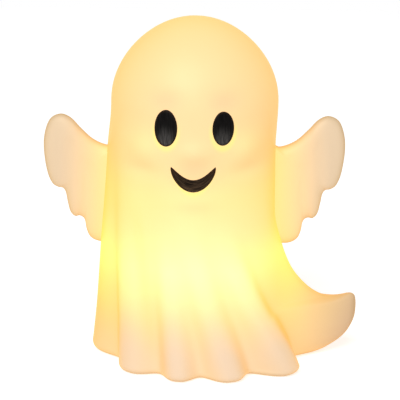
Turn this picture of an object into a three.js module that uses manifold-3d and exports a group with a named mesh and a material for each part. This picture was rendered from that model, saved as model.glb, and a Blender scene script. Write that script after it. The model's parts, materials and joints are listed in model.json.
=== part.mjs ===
// A battery-lit ghost figure: a hollow two-part moulded shell with two wings and a swept tail,
// black eyes and mouth let into its face, and a base plate with the cells, the switch and the lamps.
// Millimetres, +Z up, the face toward -Y, the tail toward +X. The standing plane is z = 0.
// Angles round the figure are in degrees: 0 is the tail side and 90 is the front.
import * as THREE from 'three';
import { mergeVertices } from 'three/addons/utils/BufferGeometryUtils.js';
import Module from 'manifold-3d';

const wasm = await Module();
wasm.setup();

// Clearances
const GAP = 0.3; // between two pieces that touch
const RUN = 0.5; // round a piece that moves
const BITE = 0.1; // how far two shapes overlap before they are joined
const PAST = 1; // how far a cutting shape runs past the face that it cuts

// The draped figure
const HEAD_R = 51; // radius of the head's dome
const HEAD_Z = 159.5; // height of the dome's centre over the hem
const WAIST_R = 52.5; // radius of the sheet in its valleys at the hem
const DRIFT = 5; // how far the hem drifts toward the front and the tail
const DRIFT_AT = 45; // the angle that it drifts toward
const DRIFT_TOP = 100; // height over which the drift fades
const SWAY = 1.4; // shift of the shoulders away from the tail
const SWAY_LOW = 20; // the shift grows between these two heights
const SWAY_FULL = 90;
const SWAY_FADE = 30; // and fades over this height under the dome's centre
const HEM_EDGE = 3.5; // rounding of the hem's lower edge
const WALL = 2.4; // wall of the moulded shell
const HEM_CLEAR = 0.6; // the hem hangs this far over the table

// The folds of the sheet: angle at the hem, push-out, half width, turn per mm of height, fading height
const FOLDS = [
  { at: 41, out: 21.5, half: 10.5, turn: 0.34, top: 150 },
  { at: 69, out: 13.4, half: 11, turn: 0.27, top: 110 },
  { at: 98, out: 11.5, half: 9.5, turn: 0.12, top: 95 },
  { at: 128, out: 12, half: 12.9, turn: 0.08, top: 150 },
  { at: 179, out: 12, half: 20, turn: 0, top: 150 },
  { at: 207, out: 10, half: 13, turn: 0, top: 100 },
  { at: 238, out: 12, half: 13, turn: -0.06, top: 110 },
  { at: 268, out: 13.6, half: 13, turn: -0.1, top: 95 },
  { at: 299, out: 12, half: 13, turn: -0.16, top: 105 },
  { at: 329, out: 14, half: 14, turn: -0.2, top: 120 },
];
const FOLD_FADE = 1.35; // how the folds die away toward their top
const FOLD_ROUND = 2.6; // how full the folds are: 2 is a bell curve, more is squarer
const FOLD_STEEP = 1.6; // the most that a fold's slope draws the hollow in, in walls

// The tail: the corner of the sheet swept out to a curled tip
const TAIL_TIP = 102; // reach of the tip from the figure's axis
const TAIL_AT = 5; // its angle
const TAIL_HALF = 15; // its half width as an angle
const TAIL_SPREAD = 1.2; // how fast it dies away to each side
const TAIL_CURL = 10.5; // lift of the tip
const TAIL_HOOK = 6; // how much of that lift is left to the last part of the tail: more is a sharper hook
const TAIL_FULL_Z = 27; // height of the furthest point
const TAIL_SOLID = 5; // the hollow stops this many walls short of the tip
const TAIL_DRAW = 1.2; // and lies this many walls lower
const TAIL_TOP = 92; // height over the hem where the tail has blended into the body
// The side view of the tail: height as a share of the furthest point's, and share of the full reach
const TAIL_SHAPE = [
  [-0.22, 0.51], [0, 0.52], [0.11, 0.6], [0.32, 0.775], [0.52, 0.9], [0.78, 0.99], [1, 1],
  [1.15, 0.97], [1.24, 0.92], [1.37, 0.57], [1.65, 0.34], [2.07, 0.17], [2.6, 0.076],
];

// The wings: the edge from the upper root over the tip and down the three feathers, as [out, up]
const WING_TIP = 92.6; // reach of the wing from the axis
const WING_ROOT = 40; // where the wing starts, inside the body
const WING_EDGE = [
  [WING_ROOT, 130], [52.5, 130.3], [62, 134], [69.8, 141], [76, 147.5], [82.3, 149.8], [88.6, 146.5],
  [92, 137.5], [WING_TIP, 127], [90.8, 114], [88, 106.6], [84.6, 103.9], [81.4, 103.2], [79.5, 100.6],
  [78.4, 95], [76.8, 88.3], [74, 85.1], [70.6, 85.3], [67.9, 83], [66.6, 76.5], [64.4, 71.8], [60, 69.2],
  [54, 68.8], [WING_ROOT, 70],
];
const WING_MID = [66, 116]; // the point that the wing swells from
const WING_HALF = 6; // half its thickness
const WING_FULL = 5; // how full its edge is
const WING_SWELL = 0.7; // how its rings crowd toward the edge: less crowds them more

// The face
const EYE_X = 16.7; // from the middle of the face
const EYE_Z = 152;
const LEFT_EYE_W = 13.4; // the left eye is a little larger
const LEFT_EYE_H = 21.7;
const RIGHT_EYE_W = 12.8;
const RIGHT_EYE_H = 20.3;
const EYE_PROUD = 1; // how far an eye stands out of the skin
const MOUTH_X = -0.7; // the mouth sits this far off the middle
const MOUTH_W = 26.8;
const MOUTH_CORNER_Z = 128.9;
const MOUTH_UPPER_Z = 120.8; // lowest point of the upper lip
const MOUTH_LOWER_Z = 115.2; // lowest point of the lower lip
const MOUTH_UPPER_BEND = 1.2; // how the lips hang: 1 is a parabola, less is rounder and more is more pointed
const MOUTH_LOWER_BEND = 0.72;
const MOUTH_TIP = 0.9; // half height of the mouth's corners
const MOUTH_ROUND = 0.97; // how sharp its corners are: 1 is a point
const MOUTH_PROUD = 0.6;
const INLAY = 1; // depth of the eyes and the mouth in the wall
const POCKET_OUT = 4; // their pockets are cut this far out past the skin
// Soft relief of the face: place, spread and push, as x, z, across, up, out
const RELIEF = [
  { x: -31, z: 144, across: 9, up: 7, out: 1.9 },
  { x: 31, z: 144, across: 9, up: 7, out: 1.9 },
  { x: -31, z: 132.5, across: 10, up: 4.5, out: -1.1 },
  { x: 31, z: 132.5, across: 10, up: 4.5, out: -1.1 },
  { x: 0, z: 137, across: 9, up: 6, out: 2 },
  { x: 0, z: 108, across: 14, up: 5, out: 0.7 },
  { x: -18, z: 168, across: 12, up: 7, out: -0.9 },
  { x: 18, z: 168, across: 12, up: 7, out: -0.9 },
];

// The seam between the shells: a tongue on the rear shell laps inside the front shell's edge
const SEAM_LIP = 1.2; // thickness of the front shell's edge
const SEAM_LAP = 2.6; // length of the tongue

// The base plate in the shell's round opening
const PLATE_T = 3.4;
const PLATE_Z = 1; // its underside over the table
const LEDGE_CLEAR = 0.8; // from the bay's corners out to the shell's seat for the plate
const LEDGE_W = 5; // width of that seat
const LEDGE_T = 2.2;
const RIM_T = 3.3; // wall of the rim that carries the seat
const BOSS_R = 3.2;
const BOSS_H = 9; // height of a screw boss over the seat
const BOSS_CAP = 1; // its closed end
const SCREW_IN = 4.1; // from the plate's edge in to the screws
const SCREW_ANGLE = 30; // angle of the screws from the side
const SCREW_R = 1.3;
const SCREW_HEAD_R = 2.75;
const SCREW_HEAD_T = 1.6;
const SCREW_L = 9;
const FOOT_X = 21.5;
const FOOT_OFF = 4; // from the bay's wall out to a foot
const FOOT_R = 4;
const FOOT_EDGE = 0.5;
const FOOT_SEAT = 1.2; // how deep a foot sits in the plate

// The cells and their bay
const CELL_R = 7.1;
const CELL_L = 50.2; // over the nub
const CELL_EDGE = 0.6;
const NUB_R = 2.7;
const NUB_L = 1.3;
const NUB_EDGE = 0.3;
const CELL_PITCH = 15.4;
const CELL_COUNT = 3;
const CELL_SLACK = 0.4; // between a cell and the bay
const BAY_WALL = 1.6;
const BAY_ROOF = 1.8;
const RIB_END = 5; // the ribs between the cells stop this far short of the cells' ends
const RIB_RISE = 3.5; // and reach down to this height over the cells' centre
const CONTACT_T = 0.5;
const CONTACT_W = 11;
const CONTACT_DROP = 4.9; // from the cells' centre down to the contact's lower edge
const CONTACT_RISE = 6;
const TAB_W = 3.4; // solder tab
const TAB_RISE = 3; // its height over the bay's roof
const SPRING_L = 5.6; // pressed length
const SPRING_R = 3.7; // coil radius at the contact
const SPRING_R_END = 2.6; // coil radius at the cell
const SPRING_WIRE = 0.7;
const SPRING_CURLS = 3;

// The battery door
const DOOR_T = 2;
const DOOR_LAP = 1.4; // how far the door laps past the bay on each side
const HINGE_TAB_W = 6;
const HINGE_TAB_L = 3; // short enough to pass under the contacts as the door swings
const HINGE_TAB_T = 1.4;
const HINGE_TAB_Y = 14;
const LATCH_W = 10;
const LATCH_L = 5;
const LATCH_T = 1.2;
const LATCH_FINGER_W = 5;
const LATCH_H = 3.6; // height of the latch finger over the door
const LATCH_BARB = 0.8;

// The switch
const SWITCH_OFF = 5.7; // from the bay's wall out to the switch
const SWITCH_TRAVEL = 4;
const SWITCH_L = 13;
const SWITCH_W = 6.8;
const SWITCH_H = 5.5;
const SWITCH_SKIN = 1.3;
const SWITCH_WALL = 1.2; // the two walls on the plate that hold it
const SWITCH_WALL_H = 4.4;
const POCKET_ROOM = 1; // room for a fingertip past each end of the knob's travel
const KNOB_L = 3;
const KNOB_W = 3.4;
const KNOB_T = 1.5;
const STEM_L = 1.8;
const STEM_W = 1.6;
const SHOE_L = 4;
const SHOE_W = 3.8;
const SHOE_T = 2;
const PIN_R = 0.5;
const PIN_H = 2.6;
const PIN_PITCH = 3.6;

// The lamp mast
const SPIGOT_R = 6.9;
const SPIGOT_H = 4;
const POST_R = 8.8;
const POST_FOOT_R = 11;
const POST_FOOT_T = 1.2;
const POST_FLARE = 2; // the foot's flare ends this far over the spigot
const POST_TOP_T = 2.4;
const BOARD_R = 13;
const BOARD_T = 1.6;
const BOARD_Z = 45; // height of the board's underside
const LED_RING = 8.6;
const LED_COUNT = 4;
const LED_R = 2.5;
const LED_FLANGE_R = 2.9;
const LED_FLANGE_T = 1;
const LED_H = 8.5;
const BOARD_SCREW_X = 4.8;
const BOARD_SCREW_R = 1;
const BOARD_SCREW_HEAD_R = 1.9;
const BOARD_SCREW_HEAD_T = 1.3;
const BOARD_SCREW_L = 5;
const RESISTOR_Y = 10.2;
const RESISTOR_L = 6;
const RESISTOR_R = 1.1;
const RESISTOR_WAIST = 0.95; // its radius between the end caps
const RESISTOR_CAP = 1.4;
const RESISTOR_SLOPE = 0.3; // from a cap down to the waist
const RESISTOR_LIFT = 0.6; // its height over the board
const RESISTOR_BEND = 1.2; // its legs bend down this far past its ends
const RESISTOR_LEG = 0.3; // half the thickness of a leg
const LEAD_R = 0.75; // insulated wire
const LEAD_STEP = 2.5; // diameters between the rings of a lead

// Facets
const SKIN_TURN = 48;
// Rings over the dome, over the face, round the hem, and every how many bends of the tail get one
const OUTSIDE = { dome: 7, face: 8, edge: 2, bend: 1 };
const LINING = { dome: 5, face: 3, edge: 1, bend: 2 };
const WING_TURN = 36;
const WING_RINGS = 3;
const CROWD = 0.5; // how much closer the skin's columns lie round the tail: 0 is even
const PLATE_TURN = 36;
const BOARD_TURN = 28;
const EYE_TURN = 22;
const MOUTH_SLICES = 14;
const ROUND = 16; // facets of a cell, a foot or the mast
const SMALL = 12; // facets of a lamp, a base screw or the resistor
const HOLE = 10; // facets of a small hole or pin
const LEAD_SIDES = 8;
const SPRING_SIDES = 5;
const SPRING_STEPS = 8; // steps of a curl

// Places and heights that follow from the sizes above
const PLATE_TOP = PLATE_Z + PLATE_T;
const DOOR_TOP = PLATE_Z + DOOR_T;
const CELL_Z = DOOR_TOP + CELL_SLACK + CELL_R;
const BAY_L = CELL_L + SPRING_L + 2 * (GAP + CONTACT_T) + 2 * GAP;
const BAY_W = (CELL_COUNT - 1) * CELL_PITCH + 2 * (CELL_R + CELL_SLACK);
const BAY_TOP = CELL_Z + CELL_R + CELL_SLACK;
const ROOF_Z = BAY_TOP + BAY_ROOF;
const TUB_L = BAY_L + 2 * BAY_WALL;
const TUB_W = BAY_W + 2 * BAY_WALL;
const DOOR_L = BAY_L + 2 * DOOR_LAP;
const DOOR_W = BAY_W + 2 * DOOR_LAP;
const LEDGE_R = Math.hypot(TUB_L, TUB_W) / 2 + LEDGE_CLEAR; // inner radius of the plate's seat
const PLATE_R = LEDGE_R + LEDGE_W - GAP;
const RIM_R = LEDGE_R + LEDGE_W + RIM_T;
const SCREW_RING = PLATE_R - SCREW_IN;
const FOOT_Y = TUB_W / 2 + FOOT_OFF + FOOT_R;
const SWITCH_Y = -TUB_W / 2 - SWITCH_OFF - SWITCH_W / 2;
const SPRING_REACH = SPRING_L + BITE; // the spring starts inside its contact
const CONTACT_FACE = BAY_L / 2 - GAP - CONTACT_T; // inner face of a contact
const LEDGE_Z = PLATE_TOP + GAP - HEM_CLEAR; // underside of the seat over the hem
const AXIS_X = (WING_TIP - TAIL_TIP) / 2; // the origin is midway between wing tip and tail tip
// Height over the hem and share of the full reach
const TAIL_SIDE = [...TAIL_SHAPE.map(([up, share]) => [up * TAIL_FULL_Z, share]), [TAIL_TOP, 0]];
const COUNTERBORE = SCREW_HEAD_T + 2 * GAP;

const plastic = (color, roughness, metalness = 0) =>
  new THREE.MeshStandardMaterial({ color, roughness, metalness });
const MATERIALS = {
  glow: plastic(0xfdeebb, 0.42),
  black: plastic(0x15110e, 0.25),
  base: plastic(0xf2ead6, 0.5),
  rubber: plastic(0x2b2a28, 0.9),
  steel: plastic(0xb9bcc0, 0.3, 1),
  cell: plastic(0x3b4048, 0.45, 0.3),
  board: plastic(0x2f6b45, 0.5),
  lamp: plastic(0xffe9a8, 0.15),
  red: plastic(0xb3241c, 0.5),
  dark: plastic(0x1c1c1e, 0.5),
  tan: plastic(0xd8c39a, 0.5),
};

// Small helpers

const radians = THREE.MathUtils.degToRad;

/** 0 below `low`, 1 above `high` and an even S between them; the two may be given either way round. */
function ramp(low, high, x) {
  const t = THREE.MathUtils.clamp((x - low) / (high - low), 0, 1);
  return t * t * (3 - 2 * t);
}

/** Signed angle in degrees from `centre` to `angle`, the short way round. */
function turnFrom(centre, angle) {
  return THREE.MathUtils.euclideanModulo(angle - centre + 180, 360) - 180;
}

/** A smooth curve through rising points that never overshoots them. */
function through(points, x) {
  const last = points.length - 1;
  const slope = (i) => (points[i + 1][1] - points[i][1]) / (points[i + 1][0] - points[i][0]);
  const tangent = (i) => {
    if (i === 0 || i === last) return 0;
    const before = slope(i - 1);
    const after = slope(i);
    return before * after > 0 ? (2 * before * after) / (before + after) : 0;
  };
  let i = 0;
  while (i < last - 1 && x >= points[i + 1][0]) i += 1;
  const h = points[i + 1][0] - points[i][0];
  const t = THREE.MathUtils.clamp((x - points[i][0]) / h, 0, 1);
  return (2 * t ** 3 - 3 * t ** 2 + 1) * points[i][1] + (t ** 3 - 2 * t ** 2 + t) * h * tangent(i)
    + (3 * t ** 2 - 2 * t ** 3) * points[i + 1][1] + (t ** 3 - t ** 2) * h * tangent(i + 1);
}

/** A closed body over a stack of equal rings of points; each end closes on a tip or on its ring's middle. */
function loft(rings, firstTip = null) {
  const n = rings[0].length;
  const middle = (ring) => ring.reduce((sum, p) => sum.add(p), new THREE.Vector3()).divideScalar(n);
  const points = [firstTip ?? middle(rings[0]), ...rings.flat(), middle(rings[rings.length - 1])];
  const index = [];
  const at = (j, i) => 1 + j * n + (i % n);
  for (let i = 0; i < n; i += 1) {
    index.push(0, at(0, i), at(0, i + 1));
    for (let j = 0; j < rings.length - 1; j += 1) {
      index.push(at(j, i), at(j + 1, i), at(j + 1, i + 1), at(j, i), at(j + 1, i + 1), at(j, i + 1));
    }
    index.push(at(rings.length - 1, i), points.length - 1, at(rings.length - 1, i + 1));
  }
  return new THREE.BufferGeometry().setFromPoints(points).setIndex(index);
}

/** The geometry as a solid for cutting and joining; its faces are turned outward if need be. */
function solid(geometry) {
  const bare = geometry.clone();
  bare.deleteAttribute('normal');
  bare.deleteAttribute('uv');
  const merged = mergeVertices(bare, 1e-4);
  const p = merged.attributes.position;
  const tris = [];
  let volume = 0;
  const corner = (i) => new THREE.Vector3().fromBufferAttribute(p, i);
  for (let i = 0; i < merged.index.count; i += 3) {
    const [a, b, c] = [0, 1, 2].map((k) => merged.index.getX(i + k));
    if (a === b || b === c || c === a) continue;
    tris.push(a, b, c);
    volume += corner(a).dot(corner(b).cross(corner(c)));
  }
  if (volume < 0) tris.reverse();
  return new wasm.Manifold(new wasm.Mesh({
    numProp: 3, vertProperties: new Float32Array(p.array), triVerts: new Uint32Array(tris),
  }));
}

/** A named mesh of a solid or a geometry. */
function piece(name, shape, material, position = [0, 0, 0], rotation = [0, 0, 0]) {
  const body = shape.isBufferGeometry ? solid(shape) : shape;
  const { vertProperties, triVerts } = body.getMesh();
  const geometry = new THREE.BufferGeometry();
  geometry.setAttribute('position', new THREE.BufferAttribute(vertProperties, 3));
  geometry.setIndex(new THREE.BufferAttribute(triVerts, 1));
  geometry.computeVertexNormals();
  const mesh = new THREE.Mesh(geometry, material);
  mesh.name = name;
  mesh.position.set(...position);
  mesh.rotation.set(...rotation);
  return mesh;
}

/** A box from its low corner to its high corner. */
function box(low, high) {
  const size = high.map((h, k) => h - low[k]);
  const geometry = new THREE.BoxGeometry(...size);
  geometry.translate(...high.map((h, k) => (h + low[k]) / 2));
  return solid(geometry);
}

/** A box about the middle (x, y), from z0 up to z1. */
function block(x, y, length, width, z0, z1) {
  return box([x - length / 2, y - width / 2, z0], [x + length / 2, y + width / 2, z1]);
}

/** An upright round bar about (x, y), from z0 up to z1. */
function bar(x, y, radius, z0, z1, sides = ROUND) {
  const geometry = new THREE.CylinderGeometry(radius, radius, z1 - z0, sides);
  geometry.rotateX(Math.PI / 2);
  geometry.translate(x, y, (z0 + z1) / 2);
  return solid(geometry);
}

/** A profile of [radius, height] points turned about +Z; a ring's profile is closed by its first point. */
function turned(profile, sides = ROUND) {
  const geometry = new THREE.LatheGeometry(profile.map(([r, h]) => new THREE.Vector2(r, h)), sides);
  geometry.rotateX(Math.PI / 2);
  return geometry;
}

/** A round tube along a path. */
function tube(curve, radius, steps, sides) {
  const section = new THREE.Shape();
  for (let i = 0; i < sides; i += 1) {
    const a = (2 * Math.PI * i) / sides;
    const [x, y] = [radius * Math.cos(a), radius * Math.sin(a)];
    if (i === 0) section.moveTo(x, y);
    else section.lineTo(x, y);
  }
  return new THREE.ExtrudeGeometry(section, { steps, extrudePath: curve, bevelEnabled: false });
}

// The shell

/** Outer radius of the sheet at an angle and a height over the hem. */
function sheetRadius(angle, z) {
  const down = THREE.MathUtils.clamp(1 - z / HEAD_Z, 0, 1);
  let r = HEAD_R + (WAIST_R - HEAD_R) * down;
  r -= SWAY * ramp(HEAD_Z, HEAD_Z - SWAY_FADE, z) * ramp(SWAY_LOW, SWAY_FULL, z) * Math.cos(radians(angle));
  r += DRIFT * ramp(DRIFT_TOP, 0, z) * Math.max(0, Math.cos(radians(angle - DRIFT_AT)));
  for (const fold of FOLDS) {
    const off = Math.abs(turnFrom(fold.at + fold.turn * z, angle)) / fold.half;
    const fade = Math.max(0, 1 - z / fold.top) ** FOLD_FADE;
    r += fold.out * fade * Math.exp(-(off ** FOLD_ROUND));
  }
  return r;
}

/** The sheet's radius, drawn in by `inset` square to its folds. */
function insetRadius(angle, z, inset) {
  const r = sheetRadius(angle, z);
  const slope = (sheetRadius(angle + 1, z) - sheetRadius(angle - 1, z)) / (r * radians(2));
  return r - inset * Math.min(FOLD_STEEP, Math.hypot(1, slope));
}

/** How far the face swells at a place on the front. */
function relief(x, z) {
  const swell = ({ x: x0, z: z0, across, up, out }) =>
    out * Math.exp(-(((x - x0) / across) ** 2) - ((z - z0) / up) ** 2);
  return RELIEF.reduce((sum, spot) => sum + swell(spot), 0);
}

/** A point of the skin: `share` is 1 on the outside and falls to 0 at the middle of the floor. */
function skinPoint(angle, r, z, share, inset) {
  const full = TAIL_TIP - sheetRadius(TAIL_AT, TAIL_FULL_Z) - TAIL_SOLID * inset;
  const spread = (1 + (turnFrom(TAIL_AT, angle) / TAIL_HALF) ** 2) ** -TAIL_SPREAD;
  const pull = through(TAIL_SIDE, z + TAIL_DRAW * inset) * spread * share ** 2;
  const point = new THREE.Vector3(
    r * Math.cos(radians(angle)) + full * pull * Math.cos(radians(TAIL_AT)),
    -r * Math.sin(radians(angle)) - full * pull * Math.sin(radians(TAIL_AT)),
    z + TAIL_CURL * pull ** TAIL_HOOK * Math.min(1, z / TAIL_FULL_Z) ** 2,
  );
  if (point.y < 0) {
    const out = new THREE.Vector3(point.x, point.y, Math.max(0, point.z - HEAD_Z)).normalize();
    point.addScaledVector(out, relief(point.x, point.z));
  }
  return point;
}

/** The body's skin, `inset` mm inside the outside: down the dome and the sheet, round the hem, under it. */
function bodySkin(inset) {
  // columns lie closer together round the tail
  const angles = Array.from({ length: SKIN_TURN }, (_, i) => {
    const turn = (2 * Math.PI * i) / SKIN_TURN;
    return TAIL_AT - THREE.MathUtils.radToDeg(turn - CROWD * Math.sin(turn));
  });
  // rings lie at the heights that shape the tail, and evenly over it
  const rings = inset > 0 ? LINING : OUTSIDE;
  const bends = TAIL_SIDE.map(([z]) => z).filter((z) => z > HEM_EDGE && z < TAIL_TOP)
    .filter((_, i) => i % rings.bend === 0).reverse();
  const step = (HEAD_Z - TAIL_TOP) / rings.face;
  const over = Array.from({ length: rings.face + 1 }, (_, i) => HEAD_Z - step * i);
  const ring = (radiusAt, z, share) => angles.map((a) => skinPoint(a, radiusAt(a), z, share, inset));
  const stack = [];
  const dome = HEAD_R - inset;
  for (let i = 1; i < rings.dome; i += 1) {
    const lean = (Math.PI / 2) * (i / rings.dome);
    stack.push(ring(() => dome * Math.sin(lean), HEAD_Z + dome * Math.cos(lean), 1));
  }
  for (const z of [...over, ...bends, HEM_EDGE]) stack.push(ring((a) => insetRadius(a, z, inset), z, 1));
  const edge = HEM_EDGE - inset;
  const hem = (a) => insetRadius(a, HEM_EDGE, inset);
  for (let i = 1; i <= rings.edge; i += 1) {
    const lean = (Math.PI / 2) * (i / rings.edge);
    stack.push(ring((a) => hem(a) - edge * (1 - Math.cos(lean)), HEM_EDGE - edge * Math.sin(lean), 1));
  }
  stack.push(ring((a) => (hem(a) - edge) / 2, inset, 0.5));
  return solid(loft(stack, new THREE.Vector3(0, 0, HEAD_Z + dome)));
}

/** A smooth closed curve through the points, drawn in square to itself by `inset`. */
function insetOutline(points, inset, count) {
  const curve = new THREE.CatmullRomCurve3(points.map(([x, z]) => new THREE.Vector3(x, 0, z)), true);
  return Array.from({ length: count }, (_, i) => {
    const along = curve.getTangent(i / count);
    const inward = new THREE.Vector3(along.z, 0, -along.x);
    return curve.getPoint(i / count).addScaledVector(inward, inset);
  });
}

/** One wing, `inset` mm inside its outside; side is -1 for the left and 1 for the right of the photo. */
function wingSkin(side, inset) {
  const outline = insetOutline(WING_EDGE, inset, WING_TURN);
  const middle = new THREE.Vector3(WING_MID[0], 0, WING_MID[1]);
  const stack = [];
  for (let i = 1; i < 2 * WING_RINGS; i += 1) {
    const lean = (Math.PI / 2) * (i / WING_RINGS);
    const share = Math.sin(lean) ** WING_SWELL;
    const depth = (WING_HALF - inset) * Math.sqrt(1 - share ** WING_FULL) * Math.sign(i - WING_RINGS);
    stack.push(outline.map((p) => {
      const q = middle.clone().lerp(p, share);
      return new THREE.Vector3(side * q.x, depth, q.z);
    }));
  }
  return solid(loft(stack));
}

/** The whole figure, `inset` mm inside its outside. */
function figure(inset) {
  return bodySkin(inset).add(wingSkin(-1, inset)).add(wingSkin(1, inset));
}

/** Places of the four base screws. */
function screwPlaces() {
  return [SCREW_ANGLE, 180 - SCREW_ANGLE, 180 + SCREW_ANGLE, 360 - SCREW_ANGLE].map((a) =>
    [SCREW_RING * Math.cos(radians(a)), SCREW_RING * Math.sin(radians(a))]);
}

/** The seat for the base plate inside the hem, with its four screw bosses. */
function plateSeat() {
  const top = LEDGE_Z + LEDGE_T;
  const inner = PLATE_R + GAP;
  const corners = [
    [inner, 0], [RIM_R, 0], [RIM_R, top], [LEDGE_R, top], [LEDGE_R, LEDGE_Z], [inner, LEDGE_Z], [inner, 0],
  ];
  let seat = solid(turned(corners, PLATE_TURN));
  for (const [x, y] of screwPlaces()) seat = seat.add(bar(x, y, BOSS_R, LEDGE_Z, top + BOSS_H, HOLE));
  for (const [x, y] of screwPlaces()) {
    seat = seat.subtract(bar(x, y, SCREW_R + GAP, LEDGE_Z - PAST, top + BOSS_H - BOSS_CAP, HOLE));
  }
  return seat;
}

/** An eye's button, or with a margin the pocket for it: a domed oval whose axis is -Y. */
function eyeButton(side, margin = 0, proud = EYE_PROUD) {
  const [width, height] = side < 0 ? [LEFT_EYE_W, LEFT_EYE_H] : [RIGHT_EYE_W, RIGHT_EYE_H];
  const profile = [[0, -INLAY - margin], [1, -INLAY - margin]];
  const arc = 4;
  for (let i = 0; i <= arc; i += 1) {
    const lean = (Math.PI / 2) * (i / arc);
    profile.push([Math.cos(lean), proud * Math.sin(lean)]);
  }
  const geometry = new THREE.LatheGeometry(profile.map(([r, h]) => new THREE.Vector2(r, h)), EYE_TURN);
  geometry.rotateX(Math.PI);
  geometry.scale(width / 2 + margin, 1, height / 2 + margin);
  return geometry;
}

/** Where an eye sits on the skin, and its turn about +Z. */
function eyeSeat(side) {
  const r = sheetRadius(90, EYE_Z) + relief(side * EYE_X, EYE_Z);
  const turn = Math.asin((side * EYE_X) / r);
  return { position: [side * EYE_X, -r * Math.cos(turn), EYE_Z], turn };
}

function placedEye(side, margin, proud) {
  const { position, turn } = eyeSeat(side);
  return solid(eyeButton(side, margin, proud).rotateZ(turn).translate(...position));
}

/** A point of the face at (x, z), lifted off the skin by `lift`. */
function facePoint(x, z, lift) {
  const angle = THREE.MathUtils.radToDeg(Math.acos(x / sheetRadius(90, z)));
  const p = skinPoint(angle, sheetRadius(angle, z), z, 1, 0);
  return p.addScaledVector(new THREE.Vector3(p.x, p.y, 0).normalize(), lift);
}

/** The smiling mouth, or with a margin its pocket: a crescent bent to the face, in slices side by side. */
function mouthInlay(margin = 0, proud = MOUTH_PROUD) {
  const half = MOUTH_W / 2 + margin;
  // a lip hangs from the corners to its lowest point
  const lip = (x, low, bend) => {
    const hang = Math.max(0, 1 - (x / (MOUTH_W / 2)) ** 2);
    return MOUTH_CORNER_Z - (MOUTH_CORNER_Z - low) * hang ** bend;
  };
  const stack = [];
  for (let i = 0; i <= MOUTH_SLICES; i += 1) {
    const x = half * Math.sin((Math.PI / 2) * ((2 * i) / MOUTH_SLICES - 1));
    const blunt = Math.sqrt(1 - MOUTH_ROUND * (x / half) ** 2);
    const upper = lip(x, MOUTH_UPPER_Z, MOUTH_UPPER_BEND);
    const lower = lip(x, MOUTH_LOWER_Z, MOUTH_LOWER_BEND);
    const tall = (upper - lower) / 2 + (MOUTH_TIP + margin) * Math.min(1, 2 * blunt);
    stack.push([
      [-1, -INLAY - margin], [0, -INLAY - margin], [1, -INLAY - margin], [1, 0],
      [0.55, proud * 0.8], [0, proud], [-0.55, proud * 0.8], [-1, 0],
    ].map(([up, lift]) => facePoint(MOUTH_X + x, (upper + lower) / 2 + tall * up, lift)));
  }
  return solid(loft(stack));
}

function makeShells() {
  const outside = figure(0);
  const inside = figure(WALL);
  const opening = bar(0, 0, PLATE_R + GAP, -PAST, LEDGE_Z, PLATE_TURN);
  const bore = bar(0, 0, LEDGE_R, -PAST, LEDGE_Z + LEDGE_T, PLATE_TURN);
  const whole = outside.subtract(inside).subtract(opening).subtract(bore).add(plateSeat());

  const far = 2 * TAIL_TIP;
  const frontHalf = box([-far, -far, -far], [far, -GAP / 2, 2 * far]);
  const rearHalf = box([-far, GAP / 2, -far], [far, far, 2 * far]);
  const lapZone = (reach) => box([-far, -reach, -far], [far, GAP, 2 * far]);

  const rebate = bodySkin(SEAM_LIP).intersect(lapZone(SEAM_LAP + GAP));
  let front = whole.intersect(frontHalf).subtract(rebate);
  for (const side of [-1, 1]) front = front.subtract(placedEye(side, GAP, POCKET_OUT));
  front = front.subtract(mouthInlay(GAP, POCKET_OUT));

  const tongue = bodySkin(SEAM_LIP + GAP).subtract(inside).intersect(lapZone(SEAM_LAP))
    .subtract(bar(0, 0, RIM_R, -PAST, LEDGE_Z + LEDGE_T + GAP, PLATE_TURN));
  const rear = whole.intersect(rearHalf).add(tongue);
  return { front, rear };
}

function makeShellGroup() {
  const group = new THREE.Group();
  group.position.z = HEM_CLEAR;
  const { front, rear } = makeShells();
  group.add(piece('front_shell', front, MATERIALS.glow), piece('rear_shell', rear, MATERIALS.glow));
  for (const [name, side] of [['left_eye', -1], ['right_eye', 1]]) {
    const { position, turn } = eyeSeat(side);
    group.add(piece(name, eyeButton(side), MATERIALS.black, position, [0, 0, turn]));
  }
  group.add(piece('mouth', mouthInlay(), MATERIALS.black));
  return group;
}

// The base plate and what it carries

/** Place of a cell across the bay. */
function cellY(i) {
  return (i - (CELL_COUNT - 1) / 2) * CELL_PITCH;
}

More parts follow.
